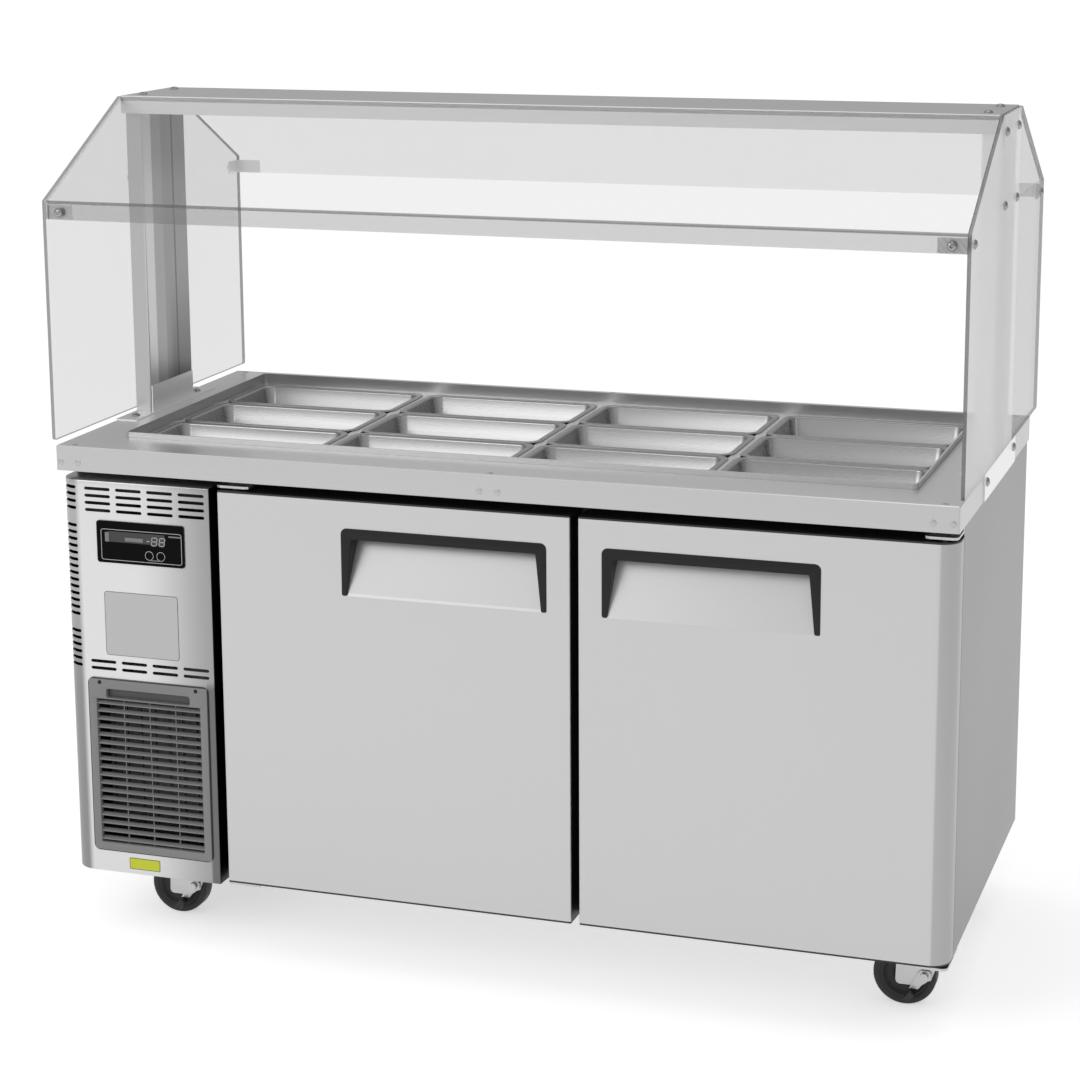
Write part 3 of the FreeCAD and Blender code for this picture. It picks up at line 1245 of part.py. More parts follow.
def compressor():
    """Hermetic can with a sloped shoulder and a seam, on a plate with four feet, and its terminal box."""
    x, y, z = compressor_place()
    plate_z = z + CAN_FOOT
    shoulder = CAN_HEIGHT - CAN_SLOPE
    rings = []
    for rise, inset in ((0, 0), (shoulder, 0), (CAN_HEIGHT, CAN_SLOPE)):
        rings.append(ring(CAN_RADIUS - inset, CAN_SIDES, (x, y, plate_z + rise), (0, 0, 1)))
    seam_z = plate_z + CAN_HEIGHT / 2
    seam = sided_rod(CAN_RADIUS + CAN_SEAM, CAN_SIDES, (x, y, seam_z), (x, y, seam_z + CAN_SEAM))
    half_x, half_y = CAN_PLATE_X / 2, CAN_PLATE_Y / 2
    plate = box(x - half_x, x + half_x, y - half_y, y + half_y, plate_z, plate_z + CAN_PLATE_THICK)
    terminal_y = y - CAN_RADIUS - TERMINAL_PROUD, y - CAN_RADIUS + TERMINAL_PROUD
    half = TERMINAL_SIZE / 2
    terminal = box(x - half, x + half, *terminal_y, seam_z - TERMINAL_SIZE, seam_z)
    foot_x, foot_y = half_x - FOOT_RADIUS, half_y - FOOT_RADIUS
    feet = [
        sided_rod(FOOT_RADIUS, FOOT_SIDES, (x + a, y + b, z), (x + a, y + b, plate_z))
        for a in (-foot_x, foot_x)
        for b in (-foot_y, foot_y)
    ]
    return group([fuse(faceted_loft(rings), [seam, plate, terminal])] + feet)


def pipe(points, bend):
    """A six-sided tube of straight runs, each corner cut by a chord of the bend."""
    places = [Vec(*p) for p in points]
    path = places[:1]
    for before, corner, after in zip(places, places[1:], places[2:]):
        path += [corner + (before - corner).normalize() * bend, corner + (after - corner).normalize() * bend]
    path.append(places[-1])
    corners = ring(PIPE_RADIUS, PIPE_SIDES, path[0], path[1] - path[0])
    section = Part.makePolygon(corners + corners[:1])
    return Part.makePolygon(path).makePipeShell([section], True, False, MITRED)


def refrigerant_lines():
    """Discharge line from compressor to condenser, and suction line up to the bulkhead."""
    x, y, z = compressor_place()
    coil_x, coil_y, coil_z = coil_place()
    can_top = z + CAN_FOOT + CAN_HEIGHT
    coil_top = coil_z + COIL_HEIGHT
    over_coil = coil_top + PIPE_RISE
    inlet_x, inlet_y = coil_x + PIPE_FROM_EDGE, coil_y + COIL_THICK / 2
    left, right = x - PIPE_APART / 2, x + PIPE_APART / 2
    discharge = [
        (left, y, can_top), (left, y, over_coil), (inlet_x, y, over_coil), (inlet_x, inlet_y, over_coil),
        (inlet_x, inlet_y, coil_top),
    ]
    suction = [(right, y, can_top), (right, y, over_coil), (BULKHEAD_X, y, over_coil)]
    return group([pipe(discharge, PIPE_BEND), pipe(suction, PIPE_BEND)])


def evaporator_coil():
    """Fin pack on the bulkhead inside the cold room."""
    z1 = OPENING_TOP - EVAP_DROP
    z0 = z1 - EVAP_HEIGHT
    half, end = EVAP_WIDTH / 2, COIL_END
    x0 = ROOM_LEFT
    core = box(x0, x0 + EVAP_COIL_THICK, -half + end, half - end, z0, z1)
    plates = [box(x0, x0 + EVAP_COIL_THICK + EVAP_END_PROUD, y, y + end, z0, z1) for y in (-half, half - end)]
    return fuse(core, plates)


def evaporator_fan_centre():
    """Centre of the evaporator fan."""
    return ROOM_LEFT + EVAP_FAN_FROM_WALL, 0.0, OPENING_TOP - EVAP_DROP - EVAP_HEIGHT / 2


def evaporator_cover():
    """Sheet hood over the evaporator with a round outlet, and the motor on a strut inside it."""
    z1 = OPENING_TOP - EVAP_DROP + EVAP_MARGIN
    z0 = z1 - EVAP_HEIGHT - 2 * EVAP_MARGIN
    half = EVAP_WIDTH / 2 + EVAP_MARGIN
    x0, x1 = ROOM_LEFT, ROOM_LEFT + EVAP_THICK
    t = HOOD_SHEET
    hood = box(x0, x1, -half, half, z0, z1).cut(box(x0, x1 - t, -half + t, half - t, z0 + t, z1 - t))
    cx, cy, cz = evaporator_fan_centre()
    outlet = sided_rod(EVAP_FAN_RADIUS - OUTLET_LAP, THROAT_SIDES, (cx, cy, cz), (x1, cy, cz))
    motor_x = x0 + EVAP_COIL_THICK + MOTOR_GAP, cx - EVAP_FAN_DEPTH / 2 - MOTOR_GAP / 2
    motor = sided_rod(FAN_HUB, FAN_SIDES, (motor_x[0], cy, cz), (motor_x[1], cy, cz))
    strut = box(motor_x[0], motor_x[0] + t, cy - STRUT_HALF, cy + STRUT_HALF, z0 + t, z1 - t)
    return fuse(hood.cut(outlet), [motor, strut])


def evaporator_fan():
    """Axial fan inside the evaporator's hood."""
    return fan(evaporator_fan_centre(), EVAP_FAN_RADIUS, (1, 0, 0), EVAP_FAN_DEPTH)


# ---------------------------------------------------------------- all nodes
def nodes():
    """Every node's shape by name."""
    shapes = {
        "worktop": worktop(),
        "well_liner": well_liner(),
        "pan_divider_bars": pan_divider_bars(),
        "cabinet_carcass": cabinet_carcass(),
        "worktop_front_rail": worktop_front_rail(),
        "machine_bay_shell": machine_bay_shell(),
        "louvre_panel": louvre_panel(),
        "intake_grille": intake_grille(),
        "controller_bezel": controller_bezel(),
        "display_window": display_window(),
        "set_button": button(0),
        "defrost_button": button(1),
        "hinge_brackets": hinge_brackets(),
        "guard_shelf": guard_shelf(),
        "guard_posts": guard_posts(),
        "guard_brackets": guard_brackets(),
        "end_glasses": end_glasses(),
        "sneeze_screens": sneeze_screens(),
        "guard_screws": guard_screws(),
        "caster_plates": caster_plates(),
        "wire_shelves": wire_shelves(),
        "shelf_rails": shelf_rails(),
        "condenser_coil": condenser_coil(),
        "condenser_shroud": condenser_shroud(),
        "condenser_fan": condenser_fan(),
        "compressor": compressor(),
        "refrigerant_lines": refrigerant_lines(),
        "evaporator_coil": evaporator_coil(),
        "evaporator_cover": evaporator_cover(),
        "evaporator_fan": evaporator_fan(),
    }
    for name, side in (("left", -1), ("right", 1)):
        shapes[f"{name}_door_panel"] = door_panel(side)
        shapes[f"{name}_door_liner"] = door_liner(side)
        shapes[f"{name}_door_gasket"] = door_gasket(side)
        shapes[f"{name}_door_handle"] = door_handle(side)
    for row in range(PAN_ROWS):
        for column in range(PAN_COLUMNS):
            shapes[f"pan_row{row + 1}_col{column + 1}"] = pan(column, row)
    for name, place in caster_places().items():
        has_brake = name.startswith("front")
        shapes[f"fork_{name}"] = caster_fork(place, has_brake)
        shapes[f"wheel_{name}"] = caster_wheel(place)
        if has_brake:
            shapes[f"brake_{name}"] = brake_lever(place)
    return shapes


def main():
    os.makedirs("parts", exist_ok=True)
    for name, shape in nodes().items():
        if not shape.isValid() or not shape.Solids:
            raise ValueError(f"{name} is not a valid solid")
        shape.exportStep(os.path.join("parts", f"{name}.step"))
        print(f"{name}: {len(shape.Solids)} solid(s), {shape.Volume / 1000:.1f} cm3")


main()
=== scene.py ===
import math

import bpy
import numpy as np
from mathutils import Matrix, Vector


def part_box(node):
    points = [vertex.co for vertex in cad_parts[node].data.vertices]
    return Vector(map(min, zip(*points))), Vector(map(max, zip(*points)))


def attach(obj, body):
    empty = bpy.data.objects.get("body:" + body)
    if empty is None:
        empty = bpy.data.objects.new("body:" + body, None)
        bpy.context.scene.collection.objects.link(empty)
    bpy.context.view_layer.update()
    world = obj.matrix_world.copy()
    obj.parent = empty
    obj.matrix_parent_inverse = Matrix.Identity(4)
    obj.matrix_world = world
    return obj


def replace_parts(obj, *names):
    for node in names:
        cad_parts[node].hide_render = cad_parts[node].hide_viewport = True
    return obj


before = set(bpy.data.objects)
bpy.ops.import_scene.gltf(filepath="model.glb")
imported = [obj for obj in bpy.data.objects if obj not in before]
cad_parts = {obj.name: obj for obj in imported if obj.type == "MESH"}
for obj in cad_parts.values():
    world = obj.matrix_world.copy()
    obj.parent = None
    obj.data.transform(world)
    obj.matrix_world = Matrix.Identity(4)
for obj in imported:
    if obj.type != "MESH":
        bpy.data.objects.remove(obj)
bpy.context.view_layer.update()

MM = 0.001

# ---------------------------------------------------------------- sizes read off the frame
TOP_LOW, TOP_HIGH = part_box("worktop")
SURFACE = TOP_HIGH[2]                       # worktop height
BODY_LOW, BODY_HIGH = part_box("cabinet_carcass")
PANEL_LOW, PANEL_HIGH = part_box("louvre_panel")
GRILLE_LOW, GRILLE_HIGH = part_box("intake_grille")
BEZEL_LOW, BEZEL_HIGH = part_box("controller_bezel")
GLASS_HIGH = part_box("end_glasses")[1]
SHELF_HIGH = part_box("guard_shelf")[1]
SCREEN_LOW, SCREEN_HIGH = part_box("sneeze_screens")
LEFT_DOOR, RIGHT_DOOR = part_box("left_door_panel"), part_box("right_door_panel")
CASTERS = ("front_left", "front_right", "rear_left", "rear_right")
SIDES = ("left", "right")
PANS = [f"pan_row{row}_col{column}" for row in (1, 2, 3) for column in (1, 2, 3, 4)]


def corners_of(name):
    """The low and the high corner of a node's box, as arrays."""
    return np.array(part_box(name), float)


def stand(name, data):
    """A new object in the scene."""
    item = bpy.data.objects.new(name, data)
    bpy.context.scene.collection.objects.link(item)
    return item


# ---------------------------------------------------------------- camera
SENSOR = 36.0
LENS = 87.73
SHIFT_UP = -0.10866
CAMERA_PLACE = (1.36986, -4.17751, 1.76483)
CAMERA_TURN = (1.36785, 0.00579, 0.32213)


def make_camera():
    """The photograph's viewpoint, solved from the worktop, doors and pans."""
    data = bpy.data.cameras.new("camera")
    data.sensor_width = SENSOR
    data.lens = LENS
    data.shift_y = SHIFT_UP
    data.dof.use_dof = False
    camera = stand("camera", data)
    camera.location = CAMERA_PLACE
    camera.rotation_euler = CAMERA_TURN
    bpy.context.scene.camera = camera


make_camera()


# ---------------------------------------------------------------- material maths
FACING = 0.6                                # a face looks along an axis above this part of its normal


class Value:
    """A socket that takes part in plain arithmetic: each operator adds a Math node."""

    def __init__(self, paint, socket):
        self.paint = paint
        self.socket = socket

    def maths(self, operation, *others):
        return self.paint.add("ShaderNodeMath", {"operation": operation}, [self, *others])

    def __add__(self, other):
        return self.maths("ADD", other)

    __radd__ = __add__

    def __mul__(self, other):
        return self.maths("MULTIPLY", other)

    def __sub__(self, other):
        return self.maths("SUBTRACT", other)

    def __rsub__(self, other):
        return self.paint.add("ShaderNodeMath", {"operation": "SUBTRACT"}, [other, self])

    def __gt__(self, other):
        return self.maths("GREATER_THAN", other)

    def __lt__(self, other):
        return self.maths("LESS_THAN", other)

    def __abs__(self):
        return self.maths("ABSOLUTE")

    def clamp(self):
        return self.paint.add("ShaderNodeClamp", {}, [self])

    def highest(self, other):
        return self.maths("MAXIMUM", other)

    def between(self, low, high):
        """A smooth step from 0 at low to 1 at high."""
        settings = {"interpolation_type": "SMOOTHSTEP"}
        return self.paint.add("ShaderNodeMapRange", settings, [self, low, high, 0.0, 1.0])


class Paint:
    """A material, or any other node tree, and the one way that nodes are added to it."""

    def __init__(self, name=None, tree=None):
        self.name = name
        if tree is None:
            self.material = bpy.data.materials.new(name)
            self.material.use_nodes = True
            tree = self.material.node_tree
            self.shader = tree.nodes["Principled BSDF"]
            self.output = tree.nodes["Material Output"]
        self.tree = tree

    def add(self, kind, settings, inputs, output=0):
        """One node: its settings, then its inputs by order or by name. Returns an output as a Value."""
        node = self.tree.nodes.new(kind)
        for key, setting in settings.items():
            setattr(node, key, setting)
        pairs = inputs.items() if isinstance(inputs, dict) else enumerate(inputs)
        for key, given in pairs:
            self.feed(node.inputs[key], given)
        return Value(self, node.outputs[output])

    def feed(self, socket, given):
        if isinstance(given, Value):
            self.tree.links.new(given.socket, socket)
        elif given is not None:
            socket.default_value = given

    def constants(self, **values):
        """Plain numbers and colours set on the shader's own sockets."""
        for key, value in values.items():
            socket = self.shader.inputs[key.replace("_", " ")]
            socket.default_value = (*value, 1.0) if isinstance(value, tuple) else value
        return self

    def drive(self, **values):
        """Values that change over the surface."""
        for key, value in values.items():
            self.feed(self.shader.inputs[key.replace("_", " ")], value)
        return self

    def place(self):
        """Position in the object's own space, which is the frame's."""
        return self.add("ShaderNodeTexCoord", {}, [], "Object")

    def split(self, vector):
        """The three parts of a vector."""
        node = self.add("ShaderNodeSeparateXYZ", {}, [vector]).socket.node
        return [Value(self, node.outputs[i]) for i in range(3)]

    def axes(self):
        """X, Y and Z of the position."""
        return self.split(self.place())

    def normal(self):
        """X, Y and Z of the direction that the surface faces."""
        return self.split(self.add("ShaderNodeNewGeometry", {}, [], "Normal"))

    def facing(self, axis, way=1):
        """1 where the surface faces along an axis, in one of its two directions."""
        return (self.normal()[axis] * way) > FACING

    def seen_by(self, *kinds):
        """1 for the named kinds of ray."""
        node = self.add("ShaderNodeLightPath", {}, []).socket.node
        return sum(Value(self, node.outputs[f"Is {kind} Ray"]) for kind in kinds).clamp()

    def skin(self):
        """The base colour fed so far."""
        return Value(self, self.shader.inputs["Base Color"].links[0].from_socket)

    def shade(self, share, factor):
        """Multiplies the base colour by a grey factor where the share is 1."""
        return self.drive(Base_Color=self.mix(share, self.skin(), tone(factor), "MULTIPLY"))

    def stretched(self, scale):
        """Position scaled by a different number along each axis."""
        return self.add("ShaderNodeMapping", {}, {"Vector": self.place(), "Scale": scale})

    def noise(self, where, scale, detail=3.0, rough=0.5):
        inputs = {"Vector": where, "Scale": scale, "Detail": detail, "Roughness": rough}
        return self.add("ShaderNodeTexNoise", {}, inputs)

    def mix(self, share, first, second, blend="MIX"):
        """A colour between two colours, or their product where the blend is MULTIPLY and the share 1."""
        settings = {"data_type": "RGBA", "blend_type": blend}
        node = self.add("ShaderNodeMix", settings, {"Factor": share}).socket.node
        for socket, colour in ((node.inputs[6], first), (node.inputs[7], second)):
            self.feed(socket, colour if isinstance(colour, Value) else (*colour, 1.0))
        return Value(self, node.outputs[2])

    def bump(self, height, distance, strength):
        """Small relief."""
        inputs = {"Height": height, "Distance": distance, "Strength": strength}
        return self.add("ShaderNodeBump", {}, inputs)


def tone(level):
    """A grey colour of a given level."""
    return (level, level, level)


def scaled(colour, factor):
    return tuple(min(1.0, channel * factor) for channel in colour)


# ---------------------------------------------------------------- finishes
def brushed_steel(name, colour, grain_axis, roughness=0.34, metallic=0.72, streak=0.05):
    """Stainless sheet: long fine scratches along one axis, faint clouds of handling marks."""
    paint = Paint(name)
    scale = [420.0, 420.0, 420.0]
    scale[grain_axis] = 5.0
    scratches = paint.noise(paint.stretched(scale), 1.0, 4.0, 0.7)
    clouds = paint.noise(paint.place(), 2.6, 2.0)
    share = (scratches * 0.7 + clouds * 0.3).clamp()
    paint.constants(Metallic=metallic)
    paint.drive(
        Base_Color=paint.mix(share, scaled(colour, 1 - streak), scaled(colour, 1 + streak)),
        Roughness=roughness - 0.07 + scratches * 0.10 + clouds * 0.05,
        Normal=paint.bump(scratches, 0.00006, 0.35),
    )
    return paint


def carcass_steel():
    """Stainless skin with painted shade on its right end, black plastic on the front face behind the doors,
    white liner inside.
    """
    paint = brushed_steel("carcass_steel", tone(0.50), 0)
    # painted shade: the right end, facing +X, darkened to 0.47
    paint.shade(paint.facing(0), 0.47)
    x, y, z = paint.axes()
    front_face = y < BODY_LOW[1] + 0.5 * MM
    skin = 12 * MM
    inside = (
        (x > BODY_LOW[0] + skin) * (x < BODY_HIGH[0] - skin)
        * (y > BODY_LOW[1] + skin) * (y < BODY_HIGH[1] - skin) * (z > BODY_LOW[2] + skin)
    )
    lined = paint.mix(inside, paint.skin(), tone(0.62))
    return paint.drive(Base_Color=paint.mix(front_face, lined, tone(0.012)), Metallic=(1 - front_face) * 0.72)


def bay_steel():
    """Machine bay: stainless outside; inside, dull and darkened by painted shade."""
    paint = brushed_steel("bay_steel", tone(0.50), 0, 0.40, 0.70)
    low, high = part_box("machine_bay_shell")
    x, y, z = paint.axes()
    skin = 1 * MM
    inside = (x > low[0] + skin) * (y < high[1] - skin) * (z > low[2] + skin) * (z < high[2] - skin)
    # painted shade inside the bay, down to 0.22
    return paint.shade(inside, 0.22)


def worktop_steel():
    """Stainless top with painted light: its upper faces are brighter than its front fold."""
    paint = brushed_steel("worktop_steel", tone(0.52), 0, 0.30, 0.80)
    # painted light on the faces that look up
    return paint.drive(Base_Color=paint.mix(paint.facing(2) * 0.75, paint.skin(), tone(0.92)))


def panel_steel():
    """Louvre panel with painted light and shade: a painted highlight line on the rounded corner, a dimmer
    side and a fade towards the doors in painted shade, and near black painted shade on faces that look along
    +X.
    """
    paint = brushed_steel("panel_steel", tone(0.70), 2, 0.30, 0.70)
    x, _, z = paint.axes()
    across = x - PANEL_LOW[0]
    high = z.between(0.42, 0.66)
    # painted shade fading across the face towards the doors
    paint.shade(across.between(0.13, 0.29), 0.46)
    # painted shade on the side and rounded corner, stronger low down, leaving a painted highlight line just
    # past the corner
    paint.shade((1 - across.between(0.028, 0.040)) * (1 - high * 0.37), 0.37)
    # painted shade on a strip along the right edge, below the grille's top
    paint.shade(across.between(0.257, 0.262) * (1 - z.between(0.455, 0.475)), 0.45)
    # painted shade, near black, on faces that look along +X, such as the right fold
    return paint.shade(paint.facing(0), 0.03)


def door_steel():
    """Doors with painted shade: on the right door's rounded outer corner, in the left pocket, and nearly
    black on the edges where the doors meet and on the left door's outer edge.
    """
    paint = brushed_steel("door_steel", tone(0.60), 2, 0.38, 0.66, 0.02)
    x, y, _ = paint.axes()
    first, left, second, right = LEFT_DOOR[0][0], LEFT_DOOR[1][0], RIGHT_DOOR[0][0], RIGHT_DOOR[1][0]
    # painted shade on the right door's rounded corner
    paint.shade(x.between(right - 29 * MM, right - 24 * MM), 0.74)
    behind = y > PANEL_LOW[1] + 3 * MM
    meeting = (abs(x - (left + second) / 2) < 14 * MM) * behind
    edge = (meeting + (abs(x - first) < 6 * MM) * behind).clamp()
    # painted shade on the left door's faces behind its front, the handle pocket among them
    paint.shade((y > PANEL_LOW[1] + 1.5 * MM) * (x < left) * (1 - edge), 0.86)
    # painted shade, nearly black, on the door edges in the gaps
    return paint.shade(edge, 0.05)


def post_steel():
    """Posts: painted shade in upright bands across the width of the left one; painted light makes the right
    one pale behind its end glass.
    """
    paint = brushed_steel("post_steel", tone(0.60), 2, 0.30, 0.85, 0.06)
    x, y, z = paint.axes()
    left = x < 0
    low = 1 - z.between(0.88, 1.12)
    # painted shade: upright bands on the left post, some stronger low down
    paint.shade(left * y.between(-52 * MM, -48 * MM), 0.60)
    paint.shade(left * y.between(-16 * MM, -10 * MM) * (0.4 + low * 0.4), 0.62)
    paint.shade(left * (abs(y - 30 * MM) < 3 * MM), 0.55)
    paint.shade(left * y.between(-8 * MM, 20 * MM) * low, 0.55)
    # painted light: the right post paled behind its end glass
    return paint.drive(Base_Color=paint.mix((1 - left) * 0.9, paint.skin(), tone(0.95)))


def shelf_steel():
    """Guard shelf: painted light makes its front and back lips brighter than its top."""
    paint = brushed_steel("shelf_steel", tone(0.57), 0, 0.32, 0.80)
    lips = paint.facing(1) + paint.facing(1, -1)
    # painted light on the front and back lips
    return paint.drive(Base_Color=paint.mix(lips.clamp(), paint.skin(), tone(0.78)))


def grille_plastic():
    """Grey moulding with painted shade: a dark rim line, darkening with depth behind its face and on its
    undersides.
    """
    paint = moulded("grille_plastic", tone(0.25), 0.45, 0.08)
    x, y, z = paint.axes()
    low, high = corners_of("intake_grille")
    middle, half = ((low + high) / 2).tolist(), ((high - low) / 2 - 1.8 * MM).tolist()
    rim = (abs(x - middle[0]) > half[0]) + (abs(z - middle[2]) > half[2])
    # painted shade line round the rim
    paint.shade(rim.clamp(), 0.12)
    # painted shade deeper behind the face
    paint.shade(y.between(GRILLE_LOW[1] + 7 * MM, GRILLE_LOW[1] + 10 * MM), 0.10)
    # painted shade on the faces that look down
    return paint.shade(paint.facing(2, -1), 0.15)


def moulded(name, colour, roughness=0.5, speckle=0.15, relief=0.00005, cell=900.0):
    """Moulded plastic: a fine spark-eroded texture and slightly uneven sheen."""
    paint = Paint(name)
    fine = paint.noise(paint.place(), cell, 2.0)
    broad = paint.noise(paint.place(), 9.0, 2.0)
    share = (fine * 0.5 + broad * 0.5).clamp()
    return paint.drive(
        Base_Color=paint.mix(share, scaled(colour, 1 - speckle), scaled(colour, 1 + speckle)),
        Roughness=roughness - 0.06 + broad * 0.12,
        Normal=paint.bump(fine, relief, 0.5),
    )


def door_liner_plastic():
    """White moulded inner face; black from the door's panel up to it."""
    paint = moulded("door_liner_plastic", tone(0.70), 0.42, 0.03)
    inner_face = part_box("left_door_liner")[1][1] - 6.2 * MM
    edges = paint.axes()[1] > inner_face
    return paint.drive(Base_Color=paint.mix(edges, tone(0.014), paint.skin()))


def clear_sheet(name, tint, edge_mask, painted_reflection=None):
    """Clear acrylic: nearly invisible where looked through, dark grey where an edge is looked into.

    The mask gives the edges from the facing's size and the position. The painted reflection gives a bright
    and a dim haze of painted reflection.
    """
    paint = Paint(name)
    place = paint.axes()
    paint.constants(Roughness=0.05, IOR=1.49)
    edge = edge_mask(*[abs(part) for part in paint.normal()], *place).clamp()
    smears = paint.noise(paint.place(), 1.7, 2.0)
    share = 0.012 + smears * 0.014
    colour = tone(0.60)
    if painted_reflection:
        slant = paint.add("ShaderNodeLayerWeight", {}, {"Blend": 0.5}, "Facing").between(0.55, 0.85)
        # painted reflection: a bright and a dim haze, by place and slant
        bright, dim = painted_reflection(slant, *place)
        share = share + bright + dim
        colour = paint.mix(dim > 0.01, tone(0.90), tone(0.30))
    share = share.highest(edge * 0.66)
    through = paint.add("ShaderNodeBsdfTransparent", {}, {"Color": (tint, tint, tint, 1.0)})
    paint.drive(Base_Color=paint.mix(edge, colour, (0.10, 0.11, 0.11)))
    solid = Value(paint, paint.shader.outputs[0])
    paint.feed(paint.output.inputs["Surface"], paint.add("ShaderNodeMixShader", {}, [share, through, solid]))
    return paint


def polished(name, colour, roughness=0.18, metallic=1.0):
    """Bright plated metal with a trace of dulling."""
    paint = Paint(name)
    haze = paint.noise(paint.place(), 60.0, 3.0)
    paint.constants(Metallic=metallic)
    paint.drive(
        Base_Color=paint.mix(haze, scaled(colour, 0.92), scaled(colour, 1.05)),
        Roughness=roughness - 0.05 + haze * 0.12,
        Normal=paint.bump(haze, 0.00008, 0.3),
    )
    return paint


def fin_pack(name, across, level):
    """Close aluminium fins drawn in paint: painted shade in the gaps and painted light on the edges, side by
    side.
    """
    paint = Paint(name)
    along = paint.axes()[across]
    wave = (along * (2 * math.pi / 0.0022)).maths("SINE")
    edge = (wave * 0.5 + 0.5).clamp()
    dust = paint.noise(paint.place(), 14.0, 3.0)
    paint.constants(Metallic=0.6)
    paint.drive(
        # painted shade in the gaps, painted light on the fin edges
        Base_Color=paint.mix(edge, tone(level * 0.1), tone(level)),
        Roughness=0.45 + dust * 0.2,
        Normal=paint.bump(edge, 0.0006, 0.8),
    )
    return paint


def brake_metal():
    """Plated lever that ends in a black pedal."""
    paint = polished("brake_metal", tone(0.55), 0.30, 0.9)
    pedal = paint.axes()[2] < 34 * MM
    return paint.drive(Base_Color=paint.mix(pedal, paint.skin(), tone(0.014)), Metallic=(1 - pedal) * 0.9)


GLASS_SPLIT = 0.083                         # the end glasses' painted reflection is bright in front of this Y, dim behind
DIM_BELOW = 1.26                            # top of the dim painted reflection on the end glasses
LIP_TOP = 1.258                             # top of the front screen's upright lip

FINISHES = {paint.name: paint for paint in (
    worktop_steel(),
    panel_steel(),
    door_steel(),
    post_steel(),
    shelf_steel(),
    brushed_steel("bracket_steel", tone(0.88), 0, 0.32, 0.80),
    brushed_steel("pan_steel", tone(0.40), 0, 0.26, 0.90),
    bay_steel(),
    carcass_steel(),
    door_liner_plastic(),
    moulded("hood_plastic", tone(0.68), 0.45, 0.03),
    moulded("gasket_rubber", tone(0.06), 0.6, 0.12),
    moulded("black_plastic", tone(0.012), 0.42, 0.2).constants(Specular_IOR_Level=0.25),
    moulded("bezel_plastic", tone(0.002), 0.35, 0.2).constants(Specular_IOR_Level=0.06),
    grille_plastic(),
    moulded("rail_plastic", tone(0.010), 0.6, 0.2),
    moulded("lens", tone(0.030), 0.12, 0.1, 0.00001),
    polished("zinc", tone(0.55), 0.30, 0.9),
    polished("chrome", tone(0.34), 0.16),
    clear_sheet(
        "end_acrylic", 0.87,
        lambda nx, ny, nz, x, y, z: nx < 0.5,
        # painted reflection on the right end glass: bright in front, dim behind
        lambda slant, x, y, z: (
            slant * (x > 0) * (y < GLASS_SPLIT) * 0.60,
            slant * (x > 0) * (y > GLASS_SPLIT) * (z < DIM_BELOW) * 0.26,
        ),
    ),
    clear_sheet(
        "screen_acrylic", 0.925,
        # edges, and painted reflection, dark grey, on the front screen's bend
        lambda nx, ny, nz, x, y, z: (nx > 0.5) + (nz > 0.35) * (nz < 0.66) * (y < 0),
        # painted reflection, dim, on the front screen's lip
        lambda slant, x, y, z: (0.0, (z < LIP_TOP) * (y < 0) * 0.20),
    ),
    moulded("coated_wire", tone(0.62), 0.4, 0.04),
    # condenser fins kept dark as painted shade behind the grille
    fin_pack("condenser_fins", 0, 0.16),
    fin_pack("evaporator_fins", 1, 0.55),
    moulded("enamel", tone(0.012), 0.3, 0.2),
    polished("copper", (0.55, 0.24, 0.13), 0.35),
    moulded("wheel_rubber", tone(0.016), 0.55, 0.25, 0.00008, 500.0),
    brake_metal(),
    moulded("ring_light", tone(0.62), 0.4, 0.05),
    polished("plug_steel", tone(0.50), 0.30, 0.6),
    moulded("blank_label", tone(0.60), 0.5, 0.02),
    moulded("label_ink", tone(0.16), 0.5, 0.1),
    moulded("lime_plate", (0.66, 0.72, 0.03), 0.45, 0.05),
    moulded("digit_white", tone(0.42), 0.5, 0.05),
    moulded("mark_grey", tone(0.22), 0.5, 0.05),
)}

WORN_BY = {
    "worktop_steel": "worktop well_liner pan_divider_bars",
    "carcass_steel": "cabinet_carcass",
    "rail_plastic": "worktop_front_rail",
    "bay_steel": "machine_bay_shell",
    "panel_steel": "louvre_panel",
    "grille_plastic": "intake_grille",
    "bezel_plastic": "controller_bezel set_button defrost_button",
    "lens": "display_window",
    "shelf_steel": "guard_shelf",
    "post_steel": "guard_posts",
    "bracket_steel": "guard_brackets",
    "end_acrylic": "end_glasses",
    "screen_acrylic": "sneeze_screens",
    "coated_wire": "wire_shelves",
    "condenser_fins": "condenser_coil",
    "evaporator_fins": "evaporator_coil",
    "hood_plastic": "evaporator_cover",
    "enamel": "compressor",
    "copper": "refrigerant_lines",
    "door_steel": "left_door_panel right_door_panel",
    "door_liner_plastic": "left_door_liner right_door_liner",
    "gasket_rubber": "left_door_gasket right_door_gasket",
    "black_plastic": "left_door_handle right_door_handle condenser_shroud condenser_fan evaporator_fan",
    "zinc": "hinge_brackets caster_plates shelf_rails "
            "fork_front_left fork_front_right fork_rear_left fork_rear_right",
    "brake_metal": "brake_front_left brake_front_right",
}


def dress_nodes():
    """Gives each carried-over node its finish."""
    for finish, nodes in WORN_BY.items():
        for node in nodes.split():
            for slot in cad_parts[node].material_slots:
                slot.material = FINISHES[finish].material


dress_nodes()


# ---------------------------------------------------------------- surfaces
def grid_faces(rows, columns, closed=True):
    """Quads between the points of a grid stored row by row, closed round each row if asked."""
    row = np.arange(rows - 1)[:, None]
    column = np.arange(columns if closed else columns - 1)[None, :]
    after = (column + 1) % columns
    near, far = row * columns, (row + 1) * columns
    return np.stack([near + column, near + after, far + after, far + column], -1).reshape(-1, 4)


